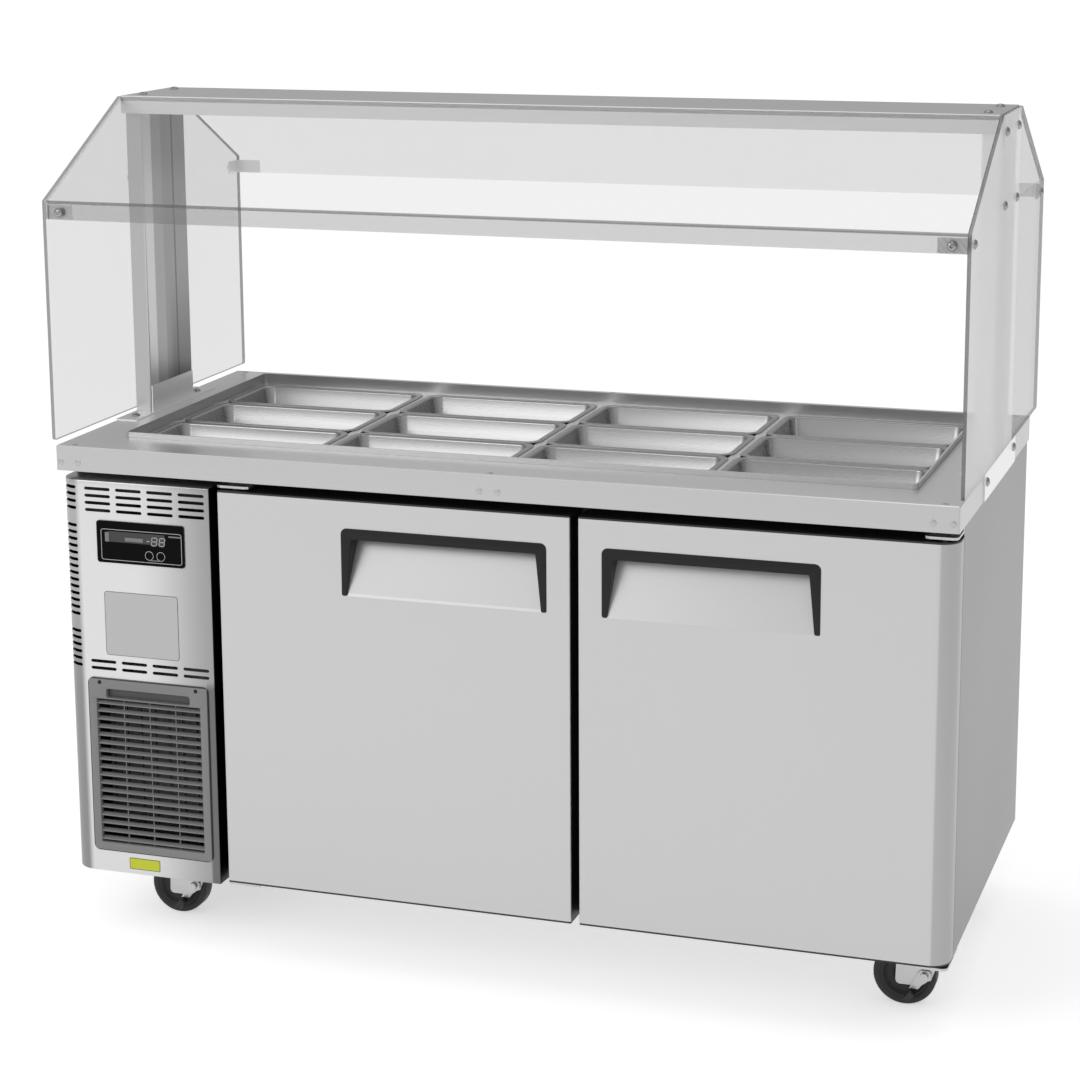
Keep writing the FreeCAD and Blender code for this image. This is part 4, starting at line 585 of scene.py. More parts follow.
def piece(name, points, faces, finish, body, slot, smooth=True):
    """A mesh object at the origin from an array of points and a list of faces, riding on a body."""
    mesh = bpy.data.meshes.new(name)
    mesh.from_pydata(np.asarray(points).reshape(-1, 3).tolist(), [], [list(map(int, face)) for face in faces])
    mesh.polygons.foreach_set("use_smooth", np.full(len(mesh.polygons), smooth))
    mesh.materials.append(FINISHES[finish].material)
    mesh.update()
    item = stand(name, mesh)
    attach(item, body)
    return item


def joined(parts):
    """Several (points, faces) shapes as one."""
    points, faces, start = [], [], 0
    for part_points, part_faces in parts:
        part_points = np.asarray(part_points, float).reshape(-1, 3)
        points.append(part_points)
        faces.extend([[int(i) + start for i in face] for face in part_faces])
        start += len(part_points)
    return np.concatenate(points), faces


def capped(rows, columns):
    """Grid faces with a flat face over the first and the last ring."""
    faces = [list(face) for face in grid_faces(rows, columns)]
    faces.append(list(range(columns))[::-1])
    faces.append(list(range((rows - 1) * columns, rows * columns)))
    return faces


def ring_faces(rows, columns):
    """Grid faces with the last ring joined to the first."""
    faces = [list(face) for face in grid_faces(rows, columns)]
    last = (rows - 1) * columns
    return faces + [[last + i, last + (i + 1) % columns, (i + 1) % columns, i] for i in range(columns)]


def turned(profile, centre, axis, count=32, six_sided=()):
    """A profile of (radius, distance along axis) turned about an axis.

    Point = centre + radius (cos a, sin a) across the axis + distance along it. A ring named in six_sided
    has the outline of a hexagon: radius / cos(a folded into one sixth of a turn).
    """
    profile = np.asarray(profile, float)
    axis = np.asarray(axis, float)
    helper = np.array([0.0, 0.0, 1.0]) if abs(axis[2]) < 0.9 else np.array([1.0, 0.0, 0.0])
    first = np.cross(axis, helper)
    first /= np.linalg.norm(first)
    second = np.cross(axis, first)
    angle = np.arange(count) * 2 * np.pi / count
    radius = np.repeat(profile[:, :1], count, 1)
    folded = (angle + np.pi / 6) % (np.pi / 3) - np.pi / 6
    for ring in six_sided:
        radius[ring] = radius[ring] * math.cos(math.pi / 6) / np.cos(folded)
    spokes = np.cos(angle)[:, None] * first + np.sin(angle)[:, None] * second
    points = np.asarray(centre) + radius[..., None] * spokes + profile[:, 1, None, None] * axis
    return points.reshape(-1, 3), capped(len(profile), count)


def rounded_loop(half_x, half_y, radius, per_corner=6):
    """A rectangle with rounded corners as a ring of points: corner centre + radius (cos a, sin a)."""
    angle = np.linspace(0, np.pi / 2, per_corner + 1)[None, :] + np.arange(4)[:, None] * np.pi / 2
    sign_x = np.array([1, -1, -1, 1])[:, None]
    sign_y = np.array([1, 1, -1, -1])[:, None]
    x = sign_x * (half_x - radius) + radius * np.cos(angle)
    y = sign_y * (half_y - radius) + radius * np.sin(angle)
    return np.stack([x.ravel(), y.ravel()], -1)


# ---------------------------------------------------------------- pans
def make_pan(name):
    """Rolled rim, flat flange, round shoulder, leaning wall and dished floor, carried round a rectangle.

    For each profile point (inset, depth) the ring is a rounded rectangle that much smaller and lower.
    """
    low, high = corners_of(name)
    half_x, half_y = (high - low)[:2] / 2
    centre = (low + high) / 2
    deep = high[2] - low[2]
    turn = np.linspace(0, np.pi / 2, 5)
    flange, shoulder_radius, floor_radius, lean = 8 * MM, 4 * MM, 14 * MM, 8 * MM
    wall, foot = flange + shoulder_radius, flange + shoulder_radius + lean
    bottom = -deep + 1.2 * MM
    rim = [
        (0.2 * MM + 1.1 * MM * (1 - math.sin(a)), -1.5 * MM + 1.4 * MM * math.cos(a)) for a in turn[::-1]
    ]
    shoulder = [
        (flange + shoulder_radius * math.sin(a), -shoulder_radius * (1 - math.cos(a))) for a in turn * 0.92
    ]
    step = [(wall + 2 * MM, -24 * MM), (wall + 3.2 * MM, -26 * MM)]
    floor = [
        (foot + floor_radius * (1 - math.cos(a)), bottom + floor_radius * (1 - math.sin(a))) for a in turn
    ]
    profile = np.array(rim + shoulder + step + floor + [(foot + 45 * MM, bottom)])
    rings = []
    for inset, depth in profile:
        corner = max(24 * MM - inset * 0.6, 8 * MM)
        loop = rounded_loop(half_x - inset, half_y - inset, corner)
        rings.append(np.column_stack([loop, np.full(len(loop), depth)]))
    points = np.array(rings) + np.array([centre[0], centre[1], high[2]])
    rows, columns = points.shape[:2]
    faces = [list(face) for face in grid_faces(rows, columns)]
    faces.append(list(range((rows - 1) * columns, rows * columns)))
    item = piece(f"{name}_pressing", points, faces, "pan_steel", name, "pan_steel")
    skin = item.modifiers.new("gauge", "SOLIDIFY")
    skin.thickness = 0.8 * MM
    skin.offset = -1.0
    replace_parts(item, name)


for pan_name in PANS:
    make_pan(pan_name)


# ---------------------------------------------------------------- screws
def button_head(centre, axis, radius, height):
    """Domed head with a hexagon socket: a half-ellipse profile that drops into a six-sided hole."""
    turn = np.linspace(0, 1, 7)
    lift = height * 0.96 / math.sin(1.08)
    dome = [(radius * math.cos(t * 1.08), lift * math.sin(t * 1.08)) for t in turn]
    socket = radius * 0.42
    profile = [(radius * 0.98, 0.0)] + dome + [(socket, height * 0.97), (socket * 0.92, height * 0.35)]
    return turned(profile, centre, axis, 24, six_sided=(len(profile) - 2, len(profile) - 1))


def make_guard_screws():
    """Heads at the guard's corners, posts, shelf and base brackets."""
    glass_x, glass_y, end_x = GLASS_HIGH[0], SCREEN_HIGH[1], TOP_HIGH[0]
    radius, height, plate = 7.4 * MM, 4 * MM, 2 * MM
    post_half, post_heights = 60 * MM, (410 * MM, 525 * MM)
    corner_z = SCREEN_LOW[2] + 11.5 * MM
    heads = []
    for side in (-1, 1):
        out = (side, 0, 0)
        for y in (-post_half, post_half):
            heads += [((side * glass_x, y, SURFACE + z), out) for z in post_heights]
            heads.append(((side * (end_x - 24 * MM), y, SHELF_HIGH[2]), (0, 0, 1)))
        for way in (-1, 1):
            heads.append(((side * (end_x - 23 * MM), way * glass_y, corner_z), (0, way, 0)))
            heads.append(((side * glass_x, way * (glass_y - 29 * MM), corner_z), out))
            heads.append(((side * (end_x + plate), way * 136 * MM, SURFACE - 14 * MM), out))
            heads.append(((side * (end_x - 19 * MM), way * 120 * MM, SURFACE + plate), (0, 0, 1)))
    points, faces = joined([button_head(np.array(place), way, radius, height) for place, way in heads])
    item = piece("guard_button_heads", points, faces, "chrome", "base", "bright_screws")
    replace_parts(item, "guard_screws")


make_guard_screws()


# ---------------------------------------------------------------- wheels
def make_wheel(caster):
    """Rounded tread, side recess, disc face and hub, as one profile turned about the axle.

    Its faces are wound inwards.
    """
    low, high = corners_of(f"wheel_{caster}")
    centre = (low + high) / 2
    rim = (high - low)[2] / 2
    hub_half = (high - low)[1] / 2
    half = hub_half - 3 * MM
    turn = np.linspace(0, np.pi / 2, 5)
    corner = 6 * MM
    tread = [(rim - corner + corner * math.sin(a), half - corner + corner * math.cos(a)) for a in turn]
    side = [
        (5.1 * MM, hub_half), (13 * MM, hub_half), (14.5 * MM, hub_half - 1.5 * MM), (15 * MM, half - 6 * MM),
        (rim - 19 * MM, half - 6 * MM), (rim - 17 * MM, half - 1 * MM), (rim - 14 * MM, half - 0.4 * MM),
        (rim - 13 * MM, half - 1.4 * MM), (rim - 12 * MM, half),
    ] + tread
    profile = side + [(radius, -along) for radius, along in side[::-1]]
    count = 64
    profile = np.array(profile)
    angle = np.arange(count) * 2 * np.pi / count
    spokes = np.stack([np.cos(angle), np.zeros(count), np.sin(angle)], -1)
    points = centre + profile[:, 0, None, None] * spokes + profile[:, 1, None, None] * np.array([0, 1.0, 0])
    faces = [face[::-1] for face in ring_faces(len(profile), count)]
    item = piece(f"wheel_{caster}_tyre", points, faces, "wheel_rubber", f"wheel_{caster}", "wheel_black")
    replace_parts(item, f"wheel_{caster}")


for caster in CASTERS:
    make_wheel(caster)


# ---------------------------------------------------------------- thin sheets
def sheet(points, faces, normals, gauge):
    """A closed sheet from an open surface: its faces, the same moved in, and a strip along each free edge.

    Inner point = outer point - gauge x outward normal. An edge is free if no face runs along it the other
    way.
    """
    points = np.asarray(points, float).reshape(-1, 3)
    count = len(points)
    inner = points - gauge * np.asarray(normals, float).reshape(-1, 3)
    quads = np.array([face for face in faces if len(face) == 4])
    wide = [np.array(face) for face in faces if len(face) != 4]
    ends = [np.stack([face, np.roll(face, -1, -1)], -1).reshape(-1, 2) for face in [quads] + wide]
    edges = np.concatenate(ends)
    free = edges[~np.isin(edges[:, 0] * count + edges[:, 1], edges[:, 1] * count + edges[:, 0])]
    strips = np.stack([free[:, 1], free[:, 0], free[:, 0] + count, free[:, 1] + count], -1)
    back = [quads[:, ::-1] + count, strips]
    shell = np.concatenate([quads] + back).tolist()
    shell += [face.tolist() for face in wide] + [(face[::-1] + count).tolist() for face in wide]
    return np.concatenate([points, inner]), shell


def crisp(item, degrees=34.0):
    """Shades an object smoothly except across edges that turn by more than an angle."""
    item.data.set_sharp_from_angle(angle=math.radians(degrees))
    return item


def slab(outline, start, end, axis=1):
    """A flat outline carried along an axis from start to end; the outline holds the other two coordinates."""
    outline = np.asarray(outline, float)
    count = len(outline)
    points = np.empty((2, count, 3))
    others = [i for i in range(3) if i != axis]
    points[:, :, others[0]] = outline[:, 0]
    points[:, :, others[1]] = outline[:, 1]
    points[0, :, axis], points[1, :, axis] = start, end
    faces = capped(2, count)
    corners = points.reshape(-1, 3)[faces[0]]
    outward = np.cross(corners[1] - corners[0], corners[2] - corners[1])
    middle = points.reshape(-1, 3).mean(0)
    if np.dot(outward, corners.mean(0) - middle) < 0:
        faces = [face[::-1] for face in faces]
    return points.reshape(-1, 3), faces


def rounded_box(low, high, radius, axis=1):
    """A plate with rounded corners seen along an axis."""
    low, high = np.asarray(low, float), np.asarray(high, float)
    others = [i for i in range(3) if i != axis]
    middle, half = (low + high) / 2, (high - low) / 2
    outline = rounded_loop(half[others[0]], half[others[1]], radius, 4) + middle[others]
    return slab(outline, low[axis], high[axis], axis)


def rounded_outline(corners, radii, steps=5):
    """A closed outline with its corners rounded.

    Arc centre = corner + bisector x radius / sin(half angle); the arc turns from one edge to the next as
    (sin((1 - t) s) start + sin(t s) end) / sin s, s being the turn.
    """
    corners = np.asarray(corners, float)
    radii = np.asarray(radii, float)[:, None]
    before, after = np.roll(corners, 1, 0) - corners, np.roll(corners, -1, 0) - corners
    before /= np.linalg.norm(before, axis=1, keepdims=True)
    after /= np.linalg.norm(after, axis=1, keepdims=True)
    half = np.arccos((before * after).sum(1, keepdims=True)) / 2
    bisector = before + after
    bisector /= np.linalg.norm(bisector, axis=1, keepdims=True)
    centre = corners + bisector * radii / np.sin(half)
    start = corners + before * radii / np.tan(half) - centre
    end = corners + after * radii / np.tan(half) - centre
    turn = (np.pi - 2 * half)[:, None]
    share = np.linspace(0, 1, steps)[None, :, None]
    arc = (np.sin((1 - share) * turn) * start[:, None] + np.sin(share * turn) * end[:, None]) / np.sin(turn)
    return (centre[:, None] + arc).reshape(-1, 2)


def upright_rows(loops):
    """Rows of points from outlines in XZ, each with its own Y."""
    return np.array([np.column_stack([loop[:, 0], np.full(len(loop), y), loop[:, 1]]) for loop, y in loops])


def upright_ring(loops):
    """A closed ring from outlines in XZ, each with its own Y, the last joined to the first."""
    rows = upright_rows(loops)
    points = rows.reshape(-1, 3)
    return points, outward(points, ring_faces(*rows.shape[:2]))


def outward(points, faces):
    """Turns every face over if the enclosed volume comes out negative: the sum of a . (b x c) / 6."""
    quads = np.array([face for face in faces if len(face) == 4])
    a, b, c, d = (points[quads[:, i]] for i in range(4))
    volume = (a * np.cross(b, c)).sum() + (a * np.cross(c, d)).sum()
    return [face[::-1] for face in faces] if volume < 0 else faces


# ---------------------------------------------------------------- intake grille
def make_grille():
    """Rounded frame with a finger slot in its head, thin slanted blades and three slender ribs set back."""
    (x0, face, z0), (x1, back, z1) = GRILLE_LOW, GRILLE_HIGH
    seat = face + 3 * MM
    border, head, edge = 15 * MM, 36 * MM, 0.8 * MM
    neck = z1 - head
    middle = (x0 + x1) / 2
    corner = 10 * MM

    def loop(left, right, low, high, low_round, high_round):
        corners = [(left, low), (right, low), (right, high), (left, high)]
        return rounded_outline(corners, [low_round, low_round, high_round, high_round])

    def frame_part(outer, inner, lower):
        low, high = outer
        sharp = 0.01 * MM

        def shrunk(by):
            bottom, top = (low + by, high) if lower else (low, high - by)
            rounds = (corner - by * 0.9, sharp) if lower else (sharp, corner - by * 0.9)
            return loop(x0 + by, x1 - by, bottom, top, *rounds)

        def grown(by):
            left, right, bottom, top, rounding = inner
            return loop(left - by, right + by, bottom - by, top + by, rounding + by, rounding + by)

        soft = edge * 0.3
        return upright_ring([
            (shrunk(0), seat), (shrunk(0), face + edge), (shrunk(soft), face + soft), (shrunk(edge), face),
            (grown(edge), face), (grown(soft), face + soft), (grown(0), face + edge), (grown(0), back),
            (shrunk(8 * MM), back), (shrunk(8 * MM), seat),
        ])

    field = (x0 + border, x1 - border, z0 + border, neck - 0.5 * MM, 1.5 * MM)
    finger = (middle - 77 * MM, middle + 77 * MM, z1 - 34 * MM, z1 - 18 * MM, 4 * MM)
    parts = [frame_part((z0, neck), field, True), frame_part((neck, z1), finger, False)]
    parts.append(rounded_box((finger[0] - 1 * MM, face + 9 * MM, finger[2] - 1 * MM),
                             (finger[1] + 1 * MM, face + 10 * MM, finger[3] + 0.9 * MM), 4 * MM))
    blades, ribs = 18, 3
    pitch = (neck - z0 - border) / blades
    thick, rise = 2.2 * MM, 4.6 * MM
    front, rear = face + 1.5 * MM, back - 1.5 * MM
    for i in range(blades):
        z = z0 + border + (i + 0.5) * pitch
        low, high = z - rise / 2 - thick / 2, z + rise / 2 - thick / 2
        section = [(front, low), (rear, high), (rear, high + thick), (front, low + thick)]
        section = rounded_outline(section, [0.9 * MM] * 4, 4)
        parts.append(slab(section, field[0] - 0.5 * MM, field[1] + 0.5 * MM, axis=0))
    near, far, half = face + 6.2 * MM, back - 1 * MM, 0.8 * MM
    for i in range(1, ribs + 1):
        x = field[0] + i * (field[1] - field[0]) / (ribs + 1)
        section = [(x - half, near), (x + half, near), (x + half, far), (x - half, far)]
        section = rounded_outline(section, [0.5 * MM] * 4, 3)
        parts.append(slab(section, z0 + border - 0.5 * MM, neck, axis=2))
    item = piece("intake_grille_moulding", *joined(parts), "grille_plastic", "base", "grey_plastic")
    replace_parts(crisp(item), "intake_grille")


make_grille()


# ---------------------------------------------------------------- door handles
def make_handle(side):
    """Inverted U with a soft front edge, solid tapering cheeks down to the pocket's floor, and a thin hood.

    Half outline: the outer side, a leg from 17 mm wide under the bar to 9 mm at its tip. A cheek's section at
    a height runs back to the floor: depth x (height - tip) / (top - tip).
    """
    name = f"{side}_door_handle"
    (x0, face, tip), (x1, back, top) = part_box(name)
    seat = face + 1.5 * MM
    depth = back - seat
    bar, leg_top, leg_tip = 18 * MM, 18 * MM, 9 * MM

    def outline(by):
        left = [
            (x0 + by, top - by), (x0 + by, tip + by), (x0 + leg_tip - by, tip + by),
            (x0 + leg_top - by, top - bar + by),
        ]
        corners = left + [(x0 + x1 - x, z) for x, z in left[::-1]]
        radii = np.array([10 * MM - by, 3.4 * MM - by, 3.4 * MM - by, 2.5 * MM + by])
        return rounded_outline(corners, np.concatenate([radii, radii[::-1]]), 7)

    edge = 1.0 * MM
    rows = upright_rows([
        (outline(0), seat + 2.2 * MM), (outline(0), face + edge),
        (outline(edge * 0.3), face + edge * 0.3), (outline(edge), face),
    ])
    plate = rows.reshape(-1, 3)
    parts = [(plate, outward(plate, capped(*rows.shape[:2])))]

    share = np.array([0.03, 0.25, 0.5, 0.75, 0.98])
    height = tip + (top - tip) * share
    floor = np.maximum(seat + depth * share - 0.3 * MM, seat + 2.1 * MM)
    inner = leg_tip + (leg_top - leg_tip) * np.clip((height - tip) / (top - bar - tip), 0, 1) - 0.4 * MM
    start = seat + 1.9 * MM
    for mirrored in (False, True):
        near, far = np.full(5, x0 + 0.3 * MM), x0 + inner
        if mirrored:
            near, far = x0 + x1 - near, x0 + x1 - far
        first = np.full(5, start)
        ring = np.stack([
            np.stack([near, first, height], -1), np.stack([far, first, height], -1),
            np.stack([far, floor, height], -1), np.stack([near, floor, height], -1),
        ], 1)
        cheek = ring.reshape(-1, 3)
        parts.append((cheek, outward(cheek, capped(5, 4))))
    parts.append(slab([(x0 + 1 * MM, start), (x1 - 1 * MM, start), (x1 - 1 * MM, back - 0.3 * MM),
                       (x0 + 1 * MM, back - 0.3 * MM)], top - 3 * MM, top - 0.3 * MM, axis=2))
    item = piece(f"{name}_grip", *joined(parts), "black_plastic", f"{side}_door", "black_plastic")
    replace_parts(crisp(item), name)

    sweep = np.linspace(0, np.pi / 2, 7)
    bend = 10 * MM
    arc = np.column_stack([x0 + bend - bend * np.cos(sweep), top - bend + bend * np.sin(sweep)])
    left = np.concatenate([[(x0, top)], arc[::-1]])
    right = np.column_stack([x0 + x1 - left[:, 0], left[:, 1]])
    pocket = joined([slab(points, seat, seat + 2.2 * MM) for points in (left, right)])
    piece(f"{side}_pocket_corners", *pocket, "door_steel", f"{side}_door", "stainless_body", smooth=False)


for side in SIDES:
    make_handle(side)


# ---------------------------------------------------------------- louvre panel
PANEL_ROUND = 35 * MM
PANEL_BEND = 2.5 * MM
SLOT_HALF = 2.7 * MM
SLOT_LONG = 47 * MM
CORNER_PITCH, FACE_PITCH = 11.7 * MM, 12.1 * MM
CORNER_GROUPS = ((0.786, 4), (0.721, 14), (0.539, 6))       # height of the top slot, number of slots
FACE_GROUPS = ((0.7855, 4), (0.4895, 2))


def panel_plan(along):
    """Plan position and outward normal of the louvre panel's skin by arc length from its back left edge.

    Forward along the side, a quarter circle of PANEL_ROUND, right along the face, a quarter circle of
    PANEL_BEND, back along the other side. On an arc: centre + radius x normal, which turns as
    length / radius.
    """
    left, right = PANEL_LOW[0], PANEL_HIGH[0]
    front, back = PANEL_LOW[1], PANEL_HIGH[1]
    lengths = [
        back - front - PANEL_ROUND, PANEL_ROUND * np.pi / 2, right - left - PANEL_ROUND - PANEL_BEND,
        PANEL_BEND * np.pi / 2, back - front - PANEL_BEND,
    ]
    ends = np.cumsum(lengths)
    first = np.clip((along - ends[0]) / PANEL_ROUND, 0, np.pi / 2)
    second = np.clip((along - ends[2]) / PANEL_BEND, 0, np.pi / 2)
    angle = first + second
    normal = np.stack([-np.cos(angle), -np.sin(angle), np.zeros_like(angle)], -1)
    x = np.select(
        [along <= ends[1], along <= ends[3]],
        [left + PANEL_ROUND * (1 - np.cos(first)), left + PANEL_ROUND + np.minimum(along, ends[2]) - ends[1]
         + PANEL_BEND * np.sin(second)],
        right,
    )
    y = np.select(
        [along <= ends[0], along <= ends[1], along <= ends[3]],
        [back - along, front + PANEL_ROUND * (1 - np.sin(first)), front + PANEL_BEND * (1 - np.cos(second))],
        front + PANEL_BEND + along - ends[3],
    )
    return np.stack([x, y, np.zeros_like(x)], -1), normal, ends


def slot_rows():
    """Heights of the slots round the corner and of the slots in the face."""
    return [
        np.array([top - pitch * i for top, count in groups for i in range(count)])
        for groups, pitch in ((CORNER_GROUPS, CORNER_PITCH), (FACE_GROUPS, FACE_PITCH))
    ]


def make_louvre_panel():
    """Bent sheet with folded top and bottom: a grid of arc length by height without the cells of its slots.

    Beside a slot a column of the grid moves by r - sqrt(r^2 - h^2), h being the height from the slot's
    middle, so that the slot's end is a half circle.
    """
    _, _, ends = panel_plan(np.zeros(1))
    to_face = ends[1] - (PANEL_LOW[0] + PANEL_ROUND)
    corner_rows, face_rows = slot_rows()
    left = PANEL_LOW[0] + 48 * MM
    starts = [left + i * 56.8 * MM for i in range(4)]
    corner_span = ends[0] + 3 * MM, ends[1] - 3 * MM
    columns = [(0.0, 0, None), (ends[0], 0, None), (ends[1], 0, None)]
    columns += [(corner_span[0], 1, "corner"), (corner_span[1], -1, "corner")]
    columns += [(s, 0, None) for s in np.linspace(*corner_span, 12)[1:-1]]
    for x in starts:
        columns += [(x + to_face, 1, "face"), (x + SLOT_LONG + to_face, -1, "face")]
    bezel_x = BEZEL_LOW[0] + 5 * MM, BEZEL_HIGH[0] - 5 * MM
    grille_right = GRILLE_HIGH[0] - 7.5 * MM
    columns += [(x + to_face, 0, None) for x in (*bezel_x, grille_right)]
    columns += [(s, 0, None) for s in (*np.linspace(ends[2], ends[3], 5), ends[4])]
    columns.sort(key=lambda column: column[0])
    along = np.array([column[0] for column in columns])

    step = SLOT_HALF * np.sin(np.radians([-90, -45, 0, 45, 90]))
    bezel_z = BEZEL_LOW[2] + 5 * MM, BEZEL_HIGH[2] - 5 * MM
    grille_z = GRILLE_LOW[2] + 7.5 * MM, GRILLE_HIGH[2] - 7.5 * MM
    low, high = PANEL_LOW[2], PANEL_HIGH[2]
    fold = 2 * MM
    heights = np.concatenate([
        (np.concatenate([corner_rows, face_rows])[:, None] + step).ravel(), bezel_z, grille_z,
        [low + fold, high - fold],
    ])
    heights = np.unique(np.round(heights, 6))
    tilt = np.radians([90, 60, 30])
    rows = np.concatenate([low + fold * (1 - np.sin(tilt)), heights, high - fold * (1 - np.sin(tilt[::-1]))])
    lean = np.concatenate([-tilt, np.zeros(len(heights)), tilt[::-1]])

    near = {
        "corner": np.abs(rows[:, None] - corner_rows).min(1),
        "face": np.abs(rows[:, None] - face_rows).min(1),
    }
    places = np.repeat(along[None, :], len(rows), 0)
    for j, (_, way, group) in enumerate(columns):
        if group:
            gap = near[group]
            shift = SLOT_HALF - np.sqrt(np.clip(SLOT_HALF ** 2 - gap ** 2, 0, None))
            places[:, j] += way * np.where(gap <= SLOT_HALF + 1e-7, shift, 0)
    plan, normal, _ = panel_plan(places)
    up = np.array([0.0, 0.0, 1.0])
    normals = normal * np.cos(lean)[:, None, None] + up * np.sin(lean)[:, None, None]
    points = plan - normal * fold + normals * fold
    level = np.clip(rows, low + fold, high - fold)
    points[..., 2] = level[:, None] + fold * np.sin(lean)[:, None]

    middle = (rows[1:] + rows[:-1]) / 2
    between = (along[1:] + along[:-1]) / 2
    in_corner = (np.abs(middle[:, None] - corner_rows).min(1) < SLOT_HALF)[:, None]
    in_face = (np.abs(middle[:, None] - face_rows).min(1) < SLOT_HALF)[:, None]
    over_face = np.zeros(len(between), bool)
    for x in starts:
        over_face |= (between > x + to_face) & (between < x + SLOT_LONG + to_face)
    gone = in_corner & ((between > corner_span[0]) & (between < corner_span[1]))[None, :]
    gone |= in_face & over_face[None, :]
    holes = (
        (bezel_x[0], bezel_x[1], *bezel_z), (starts[0], grille_right, *grille_z),
    )
    for x0, x1, z0, z1 in holes:
        across = (between > x0 + to_face) & (between < x1 + to_face)
        gone |= ((middle > z0) & (middle < z1))[:, None] & across[None, :]

    count = len(along)
    faces = grid_faces(len(rows), count, closed=False)[~gone.ravel()].tolist()
    last = (len(rows) - 1) * count
    faces.append(list(range(count))[::-1])
    faces.append(list(range(last, last + count)))
    points, faces = sheet(points, faces, normals, 1.4 * MM)
    item = piece("louvre_panel_skin", points, faces, "panel_steel", "base", "stainless_body")
    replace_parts(crisp(item), "louvre_panel")


make_louvre_panel()


# ---------------------------------------------------------------- controller marks
def frame_outline(low, high, width, radius):
    """A thin closed frame between two rounded rectangles, seen along Y. Its faces are wound inwards."""
    low, high = np.asarray(low), np.asarray(high)
    middle, half = (low + high) / 2, (high - low) / 2
    outer, inner = (
        rounded_loop(half[0] - by, half[2] - by, radius - by, 4) + middle[[0, 2]] for by in (0, width)
    )
    rows = upright_rows([(outer, low[1]), (inner, low[1]), (inner, high[1]), (outer, high[1])])
    return rows.reshape(-1, 3), [face[::-1] for face in ring_faces(*rows.shape[:2])]


# A digit's seven bars: across and up from its middle, in half widths and half heights.
SEGMENTS = ((0, 1), (0, 0), (0, -1), (-1, 0.5), (1, 0.5), (-1, -0.5), (1, -0.5))
SLANT = 0.14


def segment(centre_x, centre_z, half_length, upright, face):
    """One bar of a seven-part digit: a long hexagon, slanted."""
    half = 0.85 * MM
    outline = np.array([
        (-half_length, 0), (-half_length + half, -half), (half_length - half, -half), (half_length, 0),
        (half_length - half, half), (-half_length + half, half),
    ])
    if upright:
        outline = outline[:, ::-1]
    outline = outline + (centre_x, centre_z)
    outline[:, 0] += (outline[:, 1] - centre_z) * SLANT
    return slab(outline, face - 0.35 * MM, face)


def make_controller_marks():
    """A dash, two digits, four small bars and a thin light outline on the controller's face."""
    face = BEZEL_LOW[1]
    x0, top = BEZEL_LOW[0], BEZEL_HIGH[2]
    wide, tall = 4.6 * MM, 6.6 * MM
    z = top - 29.5 * MM
    parts = [segment(x0 + 94.5 * MM, z, 3.2 * MM, False, face)]
    for digit_x in (x0 + 105.5 * MM, x0 + 119.5 * MM):
        for across, level in SEGMENTS:
            upright = across != 0
            length = (tall / 2 if upright else wide) - 0.3 * MM
            skew = level * tall * SLANT
            parts.append(segment(digit_x + across * wide + skew, z + level * tall, length, upright, face))
    crisp(piece("display_digits", *joined(parts), "digit_white", "base", "display_lens", smooth=False))

    bars = (                                # left, up, right and down from the bezel's upper left corner, mm
        (15.5, 19.0, 22.5, 35.0), (52.0, 26.0, 85.0, 32.5), (131.5, 18.0, 154.5, 20.4),
        (94.5, 61.0, 119.5, 62.6),
    )
    plates = []
    for left, up, right, down in bars:
        low, high = (x0 + left * MM, face - 0.3 * MM, top - down * MM), (x0 + right * MM, face, top - up * MM)
        plates.append(rounded_box(low, high, 0.6 * MM))
    crisp(piece("controller_marks", *joined(plates), "mark_grey", "base", "display_lens", smooth=False))
    low = (x0 + 8 * MM, face - 0.25 * MM, BEZEL_LOW[2] + 5 * MM)
    high = (BEZEL_HIGH[0] - 4 * MM, face, top - 13.5 * MM)
    outline = frame_outline(low, high, 0.8 * MM, 4 * MM)
    crisp(piece("controller_outline", *outline, "ring_light", "base", "display_lens"))


make_controller_marks()


def make_button(name):
    """A dished cap on a stem, turned from a profile, and a light printed ring round it on the bezel."""
    low, high = corners_of(name)
    radius = (high - low)[0] / 2
    length = high[1] - low[1]
    centre = np.array([(low + high)[0] / 2, high[1], (low + high)[2] / 2])
    crown = [
        (radius - 0.1 * MM, 0.0), (radius, 0.2 * MM), (radius, length - 0.9 * MM),
        (radius - 0.25 * MM, length - 0.35 * MM), (radius - 0.9 * MM, length - 0.05 * MM),
        (radius - 1.9 * MM, length - 0.25 * MM), (radius * 0.45, length - 0.7 * MM),
        (0.3 * MM, length - 0.8 * MM),
    ]
    points, faces = turned(crown, centre, (0, -1, 0), 40)
    cap = piece(f"{name}_cap", points, faces, "bezel_plastic", name, "black_plastic")
    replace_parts(cap, name)
    turn = np.arange(40) * 2 * np.pi / 40
    front, back = BEZEL_LOW[1] - 0.15 * MM, BEZEL_LOW[1] + 0.1 * MM
    loops = []
    for reach, y in ((0.4, front), (1.2, front), (1.2, back), (0.4, back)):
        circle = (radius + reach * MM) * np.column_stack([np.cos(turn), np.sin(turn)])
        loops.append((circle + centre[[0, 2]], y))
    piece(f"{name}_ring", *upright_ring(loops), "ring_light", "base", "display_lens", smooth=False)


for button_name in ("set_button", "defrost_button"):
    make_button(button_name)


# ---------------------------------------------------------------- plates and plugs
PLATES = (                                  # name, finish, left and low, right and high, corner, edge's width
    ("instruction_plate", "blank_label", (-0.671, 0.502), (-0.5365, 0.612), 5 * MM, 0.9 * MM),
    ("lime_plate", "lime_plate", (-0.643, 0.127), (-0.586, 0.147), 1.5 * MM, 1.1 * MM),
)


